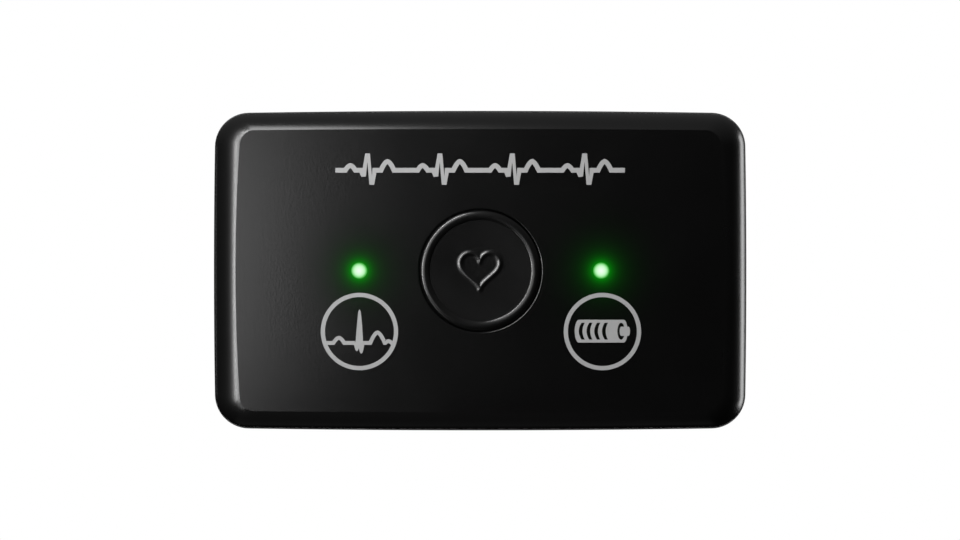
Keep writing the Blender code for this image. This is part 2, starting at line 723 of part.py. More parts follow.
def make_battery(assembly):
    """The flat cell, with the double-sided tape that it is stuck down with."""
    width, height = 2 * CELL_HALF_WIDTH, CELL_TOP_Y - CELL_LOW_Y
    cell = prism("battery_cell", rectangle(width, height), CELL_Z, CELL_Z + CELL_THICKNESS)
    bm = bmesh.new()
    bm.from_mesh(cell)
    bpy.data.meshes.remove(cell)
    upright = [edge for edge in bm.edges if abs(edge.verts[0].co.z - edge.verts[1].co.z) > WELD]
    bmesh.ops.bevel(bm, geom=upright, offset=CELL_CORNER, segments=4, affect="EDGES", profile=0.5)
    flat = [edge for edge in bm.edges if abs(edge.verts[0].co.z - edge.verts[1].co.z) < WELD]
    bmesh.ops.bevel(bm, geom=flat, offset=CELL_EDGE, segments=2, affect="EDGES", profile=0.5)
    look = material("cell pouch", (0.55, 0.57, 0.6), 0.4, metallic=0.6)
    middle = (0, CELL_MIDDLE_Y)
    assembly.piece("battery_cell", to_mesh(bm, "battery_cell"), look, middle)
    tape = block("battery_tape", (width - TAPE_INSET, height - TAPE_INSET, TAPE_THICKNESS), TAPE_Z)
    assembly.piece("battery_tape", tape, material("cell tape", (0.12, 0.12, 0.13), 0.9), middle)


def make_board(assembly):
    """The board, notched at its corners for the screw bosses."""
    x = INSIDE_HALF_WIDTH - BOARD_GAP
    y = INSIDE_HALF_HEIGHT - BOARD_GAP
    notch_x = SCREW_X - BOSS_RADIUS - LOOSE_GAP
    notch_y = SCREW_Y - BOSS_RADIUS - LOOSE_GAP
    corner = [(x, notch_y), (notch_x, notch_y), (notch_x, y)]
    upper = corner + [(-across, up) for across, up in reversed(corner)]
    lower = [(across, -up) for across, up in reversed(upper)]
    board = prism("circuit_board", upper + lower, BOARD_Z, BOARD_TOP)
    assembly.piece("circuit_board", board, material("board green", (0.02, 0.12, 0.05), 0.45))


def make_board_parts(assembly):
    """The main parts on the front of the board, in an upper and a lower row between the screw bosses."""
    radio = (RADIO_WIDTH, RADIO_LENGTH, RADIO_HEIGHT)
    processor = (PROCESSOR_SIDE, PROCESSOR_SIDE, PROCESSOR_HEIGHT)
    memory = (MEMORY_WIDTH, MEMORY_LENGTH, MEMORY_HEIGHT)
    front_end = (FRONT_END_SIDE, FRONT_END_SIDE, FRONT_END_HEIGHT)
    crystal = (CRYSTAL_WIDTH, CRYSTAL_LENGTH, CRYSTAL_HEIGHT)
    crystal_x = -PART_X + (PROCESSOR_SIDE + CRYSTAL_WIDTH) / 2 + CRYSTAL_GAP
    parts = (
        ("radio_module", radio, PART_X, 1, steel("radio shield", 0.35)),
        ("processor_chip", processor, -PART_X, 1, chip("processor body")),
        ("memory_chip", memory, -PART_X, -1, chip("memory body")),
        ("front_end_chip", front_end, PART_X, -1, chip("front end body")),
        ("clock_crystal", crystal, crystal_x, 1, steel("crystal can", 0.25)),
    )
    for name, size, x, row, look in parts:
        at = (x, row * (PARTS_REACH - size[1] / 2))
        assembly.piece(name, block(name, size, PARTS_Z, PART_EDGE), look, at)


def make_switch(assembly):
    """The tactile switch: a housing with a pocket, a snap dome, a plunger and the plate that keeps it in."""
    pocket_radius = max(PLUNGER_RADIUS + PLUNGER_FLANGE, DOME_RADIUS) + RUNNING_GAP
    height = SWITCH_TOP - PARTS_Z
    body_mesh = block("switch_body", (SWITCH_SIZE, SWITCH_SIZE, height), PARTS_Z)
    body = assembly.piece("switch_body", body_mesh, chip("switch housing"))
    cut(body, assembly.tool(cylinder("switch pocket", pocket_radius, POCKET_Z, SWITCH_TOP + OVERRUN)))

    reach, rise = DOME_RADIUS - DOME_SHEET, DOME_RISE - DOME_SHEET
    shares = SNAP_DOME_SHARES
    outer = [(DOME_RADIUS * share, DOME_Z + DOME_RISE * (1 - share**2)) for share in shares]
    inner = [(reach * share, DOME_Z + rise * (1 - share**2)) for share in reversed(shares)]
    assembly.piece("switch_dome", turned("switch_dome", outer + inner), steel("dome steel", 0.2))

    flange = PLUNGER_RADIUS + PLUNGER_FLANGE
    profile = [
        (0, PLUNGER_Z),
        (flange, PLUNGER_Z),
        (flange, SWITCH_TOP),
        (PLUNGER_RADIUS, SWITCH_TOP),
        (PLUNGER_RADIUS, PLUNGER_TOP - PART_EDGE),
        (PLUNGER_RADIUS - PART_EDGE, PLUNGER_TOP),
        (0, PLUNGER_TOP),
    ]
    plunger = turned("switch_plunger", profile)
    assembly.piece("switch_plunger", plunger, material("plunger plastic", (0.6, 0.58, 0.5), 0.4))

    sheet = block("switch_cover", (SWITCH_SIZE, SWITCH_SIZE, SWITCH_COVER_SHEET), SWITCH_COVER_Z)
    plate = assembly.piece("switch_cover", sheet, steel("switch plate", 0.3))
    top = SWITCH_COVER_Z + SWITCH_COVER_SHEET + OVERRUN
    hole = cylinder("plunger hole", PLUNGER_RADIUS + RUNNING_GAP, SWITCH_COVER_Z - OVERRUN, top)
    cut(plate, assembly.tool(hole))


def button_profile():
    """The cap from its stem outwards, up past the flange, over the rounded bead and into the dish."""
    crest = FACE_Z + BEAD_HEIGHT
    edge = FACE_Z - BUTTON_EDGE
    bead_middle = BUTTON_RADIUS - BEAD_WIDTH / 2
    dish_z = crest - DISH_DEPTH
    outside = [
        (0, STEM_Z),
        (BUTTON_STEM_RADIUS, STEM_Z),
        (BUTTON_STEM_RADIUS, BUTTON_Z),
        (BUTTON_FLANGE_RADIUS, BUTTON_Z),
        (BUTTON_FLANGE_RADIUS, BUTTON_Z + BUTTON_FLANGE_HEIGHT),
        (BUTTON_RADIUS, BUTTON_Z + BUTTON_FLANGE_HEIGHT),
    ]
    bead = []
    for step in range(BEAD_STEPS + 1):
        angle = math.pi * step / BEAD_STEPS
        foot = edge if angle < math.pi / 2 else crest - BEAD_STEP
        rise = (crest - foot) * math.sin(angle)
        bead.append((bead_middle + BEAD_WIDTH / 2 * math.cos(angle), foot + rise))
    inner = BUTTON_RADIUS - BEAD_WIDTH
    inner_z = bead[-1][1]
    dish = [(inner * share, dish_z + (inner_z - dish_z) * share**2) for share in DISH_SHARES]
    return outside + bead + dish + [(0, dish_z)]


def make_button(assembly):
    """The cap that the patient presses, kept in by its flange behind the front wall."""
    cap = turned("event_button", button_profile(), LARGE_ROUND)
    assembly.piece("event_button", cap, black_plastic("button plastic", 0.3))


def membrane_profile():
    """Half of the membrane: the nub, a fold that hangs towards the board, and the bead that is clamped."""
    low, high = MEMBRANE_Z, MEMBRANE_Z + MEMBRANE
    bead_low, bead_high = SEAL_BEAD_Z, SEAL_BEAD_Z + SEAL_BEAD_HEIGHT
    fold_middle = (NUB_RADIUS + COLLAR_RADIUS) / 2
    under, over = [], []
    for step in range(FOLD_STEPS + 1):
        angle = math.pi * step / FOLD_STEPS
        x, drop = math.cos(angle), math.sin(angle)
        wide = FOLD_RADIUS + MEMBRANE
        under.append((fold_middle - wide * x, low - (wide - MEMBRANE) * drop))
        over.append((fold_middle + FOLD_RADIUS * x, high - FOLD_RADIUS * drop))
    start = [(0, NUB_Z), (NUB_RADIUS, NUB_Z), (NUB_RADIUS, low)]
    rim = [
        (COLLAR_RADIUS, low),
        (COLLAR_RADIUS, bead_low),
        (COLLAR_OUTSIDE, bead_low),
        (COLLAR_OUTSIDE, bead_high),
        (COLLAR_RADIUS, bead_high),
        (COLLAR_RADIUS, high),
    ]
    end = [(NUB_RADIUS, high), (NUB_RADIUS, NUB_Z + NUB_HEIGHT), (0, NUB_Z + NUB_HEIGHT)]
    return start + under + rim + over + end


def make_button_seal(assembly):
    """The membrane under the cap, and the ring on the board that clamps its bead to the front half."""
    membrane = turned("button_seal", membrane_profile(), MEMBRANE_ROUND)
    assembly.piece("button_seal", membrane, silicone("membrane silicone"))
    top = SEAL_BEAD_Z - SEAT_GAP
    ring = tube("seal_clamp", COLLAR_RADIUS, COLLAR_OUTSIDE, PARTS_Z, top, MEMBRANE_ROUND)
    assembly.piece("seal_clamp", ring, black_plastic("clamp plastic", 0.5))


def make_lights(assembly):
    """On each side a light-emitting chip on the board and the clear pipe that leads its light to the face."""
    led_top = PARTS_Z + LED_HEIGHT
    share = LIGHT_X / FACE.half_width
    flange_top = CEILING_Z - SEAT_GAP
    flange_low = flange_top - PIPE_FLANGE_HEIGHT
    tip = face_height(share)
    profile = [
        (0, led_top + LED_GAP),
        (PIPE_BODY_RADIUS, led_top + LED_GAP),
        (PIPE_BODY_RADIUS, flange_low),
        (PIPE_FLANGE_RADIUS, flange_low),
        (PIPE_FLANGE_RADIUS, flange_top),
        (LIGHT_RADIUS, flange_top),
        (LIGHT_RADIUS, tip - PIPE_DOME),
        (LIGHT_RADIUS / 2, tip - PIPE_DOME / 4),
        (0, tip),
    ]
    for name, side in (("ecg", -1), ("battery", 1)):
        at = (LIGHT_X * side, 0)
        pipe = turned(f"light_pipe_{name}", profile)
        assembly.piece(f"light_pipe_{name}", pipe, clear_plastic(f"{name} light pipe clear"), at)
        led = block(f"{name}_led", (LED_LENGTH, LED_WIDTH, LED_HEIGHT), PARTS_Z)
        assembly.piece(f"{name}_led", led, material(f"{name} led resin", (0.8, 0.85, 0.7), 0.3), at)


def snap_profile():
    """A socket from the roof of its bore, down past the spring's groove, round the mouth and up outside."""
    wire_room = 2 * (SNAP_WIRE_RADIUS + SNAP_WIRE_PLAY)
    groove_radius = SNAP_MOUTH_RADIUS + SNAP_WIRE_RADIUS + SNAP_WIRE_GAP
    groove_low = SNAP_RECESS + SNAP_LIP
    flange_low = FLOOR_Z + SEAT_GAP
    flange_top = flange_low + SNAP_FLANGE_HEIGHT
    return [
        (0, SNAP_TOP - SNAP_CAP),
        (SNAP_MOUTH_RADIUS, SNAP_TOP - SNAP_CAP),
        (SNAP_MOUTH_RADIUS, groove_low + wire_room),
        (groove_radius, groove_low + wire_room),
        (groove_radius, groove_low),
        (SNAP_MOUTH_RADIUS, groove_low),
        (SNAP_MOUTH_RADIUS, SNAP_RECESS + SNAP_MOUTH_BREAK),
        (SNAP_MOUTH_RADIUS + SNAP_MOUTH_BREAK, SNAP_RECESS),
        (SNAP_RADIUS - SNAP_MOUTH_BREAK, SNAP_RECESS),
        (SNAP_RADIUS, SNAP_RECESS + SNAP_MOUTH_BREAK),
        (SNAP_RADIUS, flange_low),
        (SNAP_FLANGE_RADIUS, flange_low),
        (SNAP_FLANGE_RADIUS, flange_top),
        (SNAP_RADIUS, flange_top),
        (SNAP_RADIUS, SNAP_TOP),
        (0, SNAP_TOP),
    ]


def wire(name, points, radius, sides):
    """A round wire along a list of points, closed at both ends."""
    curve = bpy.data.curves.new(name, "CURVE")
    curve.dimensions = "3D"
    curve.bevel_depth = radius
    curve.bevel_resolution = sides
    curve.use_fill_caps = True
    spline = curve.splines.new("POLY")
    spline.points.add(len(points) - 1)
    for place, point in zip(spline.points, points, strict=True):
        place.co = (*point, 1)
    return curve


def split_ring_points():
    """The split ring spring's middle line, open on the side away from the bore's entry."""
    height = SNAP_RECESS + SNAP_LIP + SNAP_WIRE_PLAY + SNAP_WIRE_RADIUS
    start = (math.tau - SNAP_WIRE_SWEEP) / 2
    points = []
    for step in range(WIRE_STEPS + 1):
        angle = start + SNAP_WIRE_SWEEP * step / WIRE_STEPS
        x, y = SNAP_MOUTH_RADIUS * math.cos(angle), SNAP_MOUTH_RADIUS * math.sin(angle)
        points.append((x, y, height))
    return points


def leaf_mesh(name):
    """A contact spring bent like a C, with its tab on the board and its foot on the socket."""
    low = SNAP_TOP + SEAT_GAP
    high = BOARD_Z - SEAT_GAP
    middle, radius = (low + high) / 2, (high - low) / 2
    outer, inner = [], []
    for step in range(FOLD_STEPS + 1):
        angle = math.pi / 2 - math.pi * step / FOLD_STEPS
        x, z = math.cos(angle), math.sin(angle)
        outer.append((radius * x, middle + radius * z))
        thin = radius - LEAF_THICKNESS
        inner.append((thin * x, middle + thin * z))
    side = [(-LEAF_TAB, high), *outer, (-LEAF_FOOT, low), (-LEAF_FOOT, low + LEAF_THICKNESS)]
    side += [*reversed(inner), (-LEAF_TAB, high - LEAF_THICKNESS)]
    bm = bmesh.new()
    face = bm.faces.new([bm.verts.new((x, -LEAF_WIDTH / 2, z)) for x, z in side])
    raised = bmesh.ops.extrude_face_region(bm, geom=[face])["geom"]
    moved = [item for item in raised if isinstance(item, bmesh.types.BMVert)]
    bmesh.ops.translate(bm, verts=moved, vec=(0, LEAF_WIDTH, 0))
    return to_mesh(bm, name)


def make_snaps(assembly):
    """The three press-stud sockets, each with its ring spring and the leaf that leads it to the board."""
    for number, at in enumerate(SNAP_PLACES, 1):
        socket = turned(f"snap_socket_{number}", snap_profile())
        assembly.piece(f"snap_socket_{number}", socket, steel(f"socket {number} nickel", 0.22), at)
        name = f"snap_spring_{number}"
        ring = wire(name, split_ring_points(), SNAP_WIRE_RADIUS, 1)
        assembly.piece(name, ring, steel(f"ring spring {number} steel", 0.3), at)
        name = f"contact_spring_{number}"
        assembly.piece(name, leaf_mesh(name), gold(f"leaf {number} gold"), at)


def contact_places():
    """Where the charge contacts lie: a row between the low socket and the board post."""
    first = CONTACT_MIDDLE_X - CONTACT_PITCH * (CONTACT_COUNT - 1) / 2
    return [(first + CONTACT_PITCH * number, CONTACT_Y) for number in range(CONTACT_COUNT)]


def make_charge_contacts(assembly):
    """Gold pins whose pads lie just under the skin face and whose stems reach the board."""
    flange_low = FLOOR_Z + SEAT_GAP
    flange_top = flange_low + CONTACT_FLANGE_HEIGHT
    top = BOARD_Z - SEAT_GAP
    profile = [
        (0, CONTACT_RECESS),
        (CONTACT_RADIUS, CONTACT_RECESS),
        (CONTACT_RADIUS, flange_low),
        (CONTACT_RADIUS + CONTACT_FLANGE, flange_low),
        (CONTACT_RADIUS + CONTACT_FLANGE, flange_top),
        (CONTACT_STEM_RADIUS, flange_top),
        (CONTACT_STEM_RADIUS, top),
        (0, top),
    ]
    for number, at in enumerate(contact_places(), 1):
        name = f"charge_contact_{number}"
        assembly.piece(name, turned(name, profile, SMALL_ROUND), gold(f"contact {number} gold"), at)


def make_connector(assembly):
    """The cell's connector under the board, the plug in it and the two leads from the plug to the cell."""
    middle = (SOCKET_X, SOCKET_Y)
    shell = block("battery_socket", (SOCKET_WIDTH, SOCKET_LENGTH, SOCKET_HEIGHT), SOCKET_Z)
    body = assembly.piece("battery_socket", shell, material("socket nylon", (0.75, 0.72, 0.65), 0.5), middle)
    bore_width = SOCKET_WIDTH - 2 * SOCKET_WALL
    bore_low, bore_high = SOCKET_Z + SOCKET_WALL, SOCKET_Z + SOCKET_HEIGHT - SOCKET_WALL
    front, back = -SOCKET_LENGTH / 2, SOCKET_LENGTH / 2 - SOCKET_WALL
    bore = rectangle(bore_width, back - front + OVERRUN, (0, (front - OVERRUN + back) / 2))
    cut(body, assembly.tool(prism("plug bore", bore, bore_low, bore_high), middle))

    plug_front, plug_back = front - PLUG_STICK_OUT, back - PLUG_GAP
    plug_shape = rectangle(
        bore_width - 2 * PLUG_GAP, plug_back - plug_front, (0, (plug_front + plug_back) / 2)
    )
    plug = prism("battery_plug", plug_shape, bore_low + PLUG_GAP, bore_high - PLUG_GAP)
    assembly.piece("battery_plug", plug, material("plug nylon", (0.8, 0.78, 0.7), 0.5), middle)

    start_y = SOCKET_Y + plug_front - LEAD_GAP
    start_z = (bore_low + bore_high) / 2
    end_x = -CELL_HALF_WIDTH - LEAD_GAP
    exit_y = (start_y + CELL_LOW_Y) / 2
    colours = (("red", 1, (0.5, 0.02, 0.02)), ("black", -1, (0.02, 0.02, 0.02)))
    for name, side, colour in colours:
        x = SOCKET_X + LEAD_SPACING / 2 * side
        end_y = exit_y + LEAD_SPACING / 2 * side
        ends = [Vector((x, start_y, start_z)), Vector((end_x, end_y, start_z - LEAD_DROP))]
        pulls = [Vector((0, -LEAD_REACH, 0)), Vector((-LEAD_REACH, 0, 0))]
        route = lead_route(ends, pulls)
        lead = wire(f"battery_lead_{name}", route, LEAD_RADIUS, 2)
        assembly.piece(f"battery_lead_{name}", lead, material(f"{name} lead", colour, 0.5))


def lead_route(ends, pulls):
    """Points on the smooth curve that leaves each end the way it is pulled."""
    first, last = ends
    near, far = first + pulls[0], last + pulls[1]
    points = []
    for step in range(LEAD_POINTS):
        t = step / (LEAD_POINTS - 1)
        weights = ((1 - t) ** 3, 3 * t * (1 - t) ** 2, 3 * t**2 * (1 - t), t**3)
        point = Vector()
        for weight, knot in zip(weights, (first, near, far, last), strict=True):
            point += weight * knot
        points.append(tuple(point))
    return points


def main():
    clear_scene()
    assembly = Assembly()
    make_front_cover(assembly)
    make_back_cover(assembly)
    make_perimeter_seal(assembly)
    make_screws(assembly)
    make_battery(assembly)
    make_board(assembly)
    make_board_parts(assembly)
    make_switch(assembly)
    make_button(assembly)
    make_button_seal(assembly)
    make_lights(assembly)
    make_snaps(assembly)
    make_charge_contacts(assembly)
    make_connector(assembly)


main()
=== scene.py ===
"""Dresses a chest-worn ECG recorder for its portrait: shells, print, lights, button, sockets and the studio.

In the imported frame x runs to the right, z up and y into the back, with the face towards -y. Meshes are
drawn lying down, with x to the right, y up the face and height out of it, and are stood up at the end.
Lengths are in metres, apart from sizes whose names end in mm and the outlines of the prints."""

import logging
import math
from collections.abc import Callable, Iterable, Mapping, Sequence
from dataclasses import astuple, dataclass, replace
from enum import Enum, IntEnum

import bmesh
import bpy
import numpy as np
from mathutils import Matrix, Quaternion, Vector
from mathutils.geometry import delaunay_2d_cdt


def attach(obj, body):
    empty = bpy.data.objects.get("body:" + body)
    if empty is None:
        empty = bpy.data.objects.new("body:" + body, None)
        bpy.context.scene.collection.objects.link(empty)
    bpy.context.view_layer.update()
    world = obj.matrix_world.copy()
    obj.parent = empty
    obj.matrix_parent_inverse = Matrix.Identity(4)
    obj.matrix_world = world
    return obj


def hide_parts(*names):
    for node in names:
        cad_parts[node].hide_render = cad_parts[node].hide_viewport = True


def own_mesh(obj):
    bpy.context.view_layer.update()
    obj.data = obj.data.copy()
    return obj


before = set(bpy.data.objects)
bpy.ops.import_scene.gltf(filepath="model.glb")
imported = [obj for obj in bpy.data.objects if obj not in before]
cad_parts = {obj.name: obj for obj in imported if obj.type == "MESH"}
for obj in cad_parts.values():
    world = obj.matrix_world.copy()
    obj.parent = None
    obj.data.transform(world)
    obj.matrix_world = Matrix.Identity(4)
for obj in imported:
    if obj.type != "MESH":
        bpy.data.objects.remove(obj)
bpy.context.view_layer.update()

LOG = logging.getLogger("recorder")
MM = 0.001
STAND = Matrix.Rotation(math.radians(90), 4, "X")
# How finely round forms are drawn
SIDE_STEPS = 20
CORNER_STEPS = 14
SHOULDER_STEPS = 24
KNEE_STEPS = 6
EDGE_STEPS = 5
HOLE_STEPS = 3
LARGE_ROUND = 192
MIDDLE_ROUND = 64
SMALL_ROUND = 32
# Edges that turn further than this stay sharp
SHARP_FROM = math.radians(35)
# How far a post or rib reaches into the wall that carries it
BITE = 0.3 * MM
# How far apart the inner points of the floor and the ceiling lie
INNER_SPACING = 6 * MM
# How high over the print's shell the rays start that find its surface, and how far they reach
RAY_START = 20 * MM
RAY_LENGTH = 30 * MM
# How near two points of a print's border lie when they are one
SEAM = 0.0005 * MM
# How finely a wire is drawn: along its arc, and round it
ARC_POINTS = 72
WIRE_ROUND = 14
# Lines turned further than the first, as a cosine, are cut off square, and none is mitred past the second
SQUARE_FROM = 0.75
LEAST_MITRE = 0.3
# How flat the top of a printed wave is
WAVE_POWER = 1.7
# How far apart the points of a printed ellipse lie, in degrees, and how many parts it has at least
BULGE_DEGREES = 9
LEAST_PARTS = 6
# How near its border a sheet may have points of its own, as a share of their spacing
BORDER_SHARE = 0.6
# How round a corner stays at least when an outline is drawn in
LEAST_CORNER = 0.3
# Radii up to this one lie on the axis
ON_AXIS = 1e-8
# How near two points of a sheet are when they are one, in millimetres
SAME_POINT = 1e-6
# How many sizes of detail the patches and the grain of a finish have
PATCH_DETAIL = 4.0
GRAIN_DETAIL = 3.0
# What the values of the patches mostly lie between
PATCH_RANGE = (0.3, 0.7)
# The name under which copies carry how far each point lies from their axis
AXIS_DISTANCE = "axis_distance"

Point = tuple[float, float]
Place = tuple[float, float, float]
Profile = Sequence[Point]
Rings = Iterable[Iterable[Place]]
Surface = Callable[[float, float], float]
Socket = bpy.types.NodeSocket
Loop = list[bmesh.types.BMVert]


class Body(Enum):
    """The bodies that pieces ride on."""

    HOUSING = "housing"
    BUTTON = "button"


class Zone(IntEnum):
    """Which of a shell's finishes a face takes."""

    SHOULDER = 0
    FACE = 1
    INSIDE = 2


# Shared tools


def linear(code: str) -> tuple[float, float, float, float]:
    """Turns an sRGB hex colour into linear red, green, blue and alpha."""
    shares = [int(code[at : at + 2], 16) / 255 for at in (1, 3, 5)]
    return (*(s / 12.92 if s <= 0.04045 else ((s + 0.055) / 1.055) ** 2.4 for s in shares), 1.0)


def fill(node: bpy.types.Node, links: Mapping) -> None:
    """Links a node's inputs, by name or number, to other nodes' sockets, or gives them values.

    Args:
        node: The node.
        links: What each input takes.
    """
    for socket, source in links.items():
        if isinstance(source, Socket):
            node.id_data.links.new(source, node.inputs[socket])
        else:
            node.inputs[socket].default_value = source


def add_node(
    tree: bpy.types.NodeTree, kind: str, links: Mapping | None = None, **settings: object
) -> bpy.types.Node:
    """Adds a node with its settings and what its inputs are linked to or hold.

    Args:
        tree: The shader or geometry tree.
        kind: Blender's name of the node.
        links: What each input takes.
        settings: The node's own properties.

    Returns:
        The new node.
    """
    node = tree.nodes.new(kind)
    for name, value in settings.items():
        setattr(node, name, value)
    fill(node, links or {})
    return node


class Nodes:
    """A node tree under construction."""

    def __init__(self, tree: bpy.types.NodeTree) -> None:
        """Takes the tree."""
        self.tree = tree

    def step(
        self, kind: str, links: Mapping | None = None, output: int | str = 0, **settings: object
    ) -> Socket:
        """Adds a node and gives one of its outputs."""
        return add_node(self.tree, kind, links, **settings).outputs[output]


def circle(centre: Point, radius: float, steps: int) -> list[Point]:
    """Points round a circle, anticlockwise from its right side."""
    turns = (math.tau * step / steps for step in range(steps))
    return [(centre[0] + radius * math.cos(a), centre[1] + radius * math.sin(a)) for a in turns]


def level_circle(centre: Point, radius: float, height: float, steps: int) -> list[Place]:
    """Points round a circle that lies at one height."""
    return [(*place, height) for place in circle(centre, radius, steps)]


def quarters(place: Point) -> list[Point]:
    """A place in the first quarter, and its mirror images in the other three."""
    x, y = place
    return [(-x, y), (x, y), (x, -y), (-x, -y)]


def rounding(radius: float, height: float, size: float, steps: int, side: int = 1) -> list[Point]:
    """The profile of a broken lower edge, outwards and up: of a disc, or of a hole where side is -1."""
    turns = (math.radians(90 * step / steps) for step in range(steps + 1))
    return [(radius - side * size * (1 - math.sin(a)), height + size * (1 - math.cos(a))) for a in turns]


def inside(x: float, y: float, outline: Sequence[Point]) -> bool:
    """Finds whether a place lies within a closed outline.

    Args:
        x: How far right the place lies.
        y: How far up it lies.
        outline: The outline's corners in order.

    Returns:
        True where it lies within.
    """
    within = False
    for (ax, ay), (bx, by) in zip(outline, [*outline[1:], outline[0]], strict=True):
        if (ay > y) != (by > y) and x < ax + (bx - ax) * (y - ay) / (by - ay):
            within = not within
    return within


def covered(place: Point, outline: Sequence[Point], *holes: Sequence[Point]) -> bool:
    """Whether a place lies within an outline and in none of its holes."""
    return inside(*place, outline) and not any(inside(*place, hole) for hole in holes)


@dataclass
class Piece:
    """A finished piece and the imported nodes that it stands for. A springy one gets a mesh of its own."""

    thing: bpy.types.Object
    slot: str
    body: Body = Body.HOUSING
    nodes: tuple[str, ...] = ()
    foot: float = 0.0
    keeps: float = 1.0

    def settle(self) -> None:
        """Stands the piece up, lets it ride on its body, hides the nodes it stands for, gives a springy one a
        mesh of its own, and reports it.
        """
        self.thing.data.transform(STAND)
        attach(self.thing, self.body.value)
        if self.nodes:
            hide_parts(*self.nodes)
        if self.keeps < 1:
            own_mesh(self.thing)
        faces = len(self.thing.data.polygons)
        LOG.info("%s rides on %s with %d faces", self.thing.name, self.body.value, faces)


def new_object(name: str, data: bpy.types.ID, *finishes: "Finish") -> bpy.types.Object:
    """Puts a mesh, a light or a camera in the scene, at the origin.

    Args:
        name: The object's name.
        data: Its mesh, light or camera.
        finishes: What its faces' finish numbers stand for, in order.

    Returns:
        The new object.
    """
    for finish in finishes:
        data.materials.append(finish.material())
    thing = bpy.data.objects.new(name, data)
    bpy.context.scene.collection.objects.link(thing)
    return thing


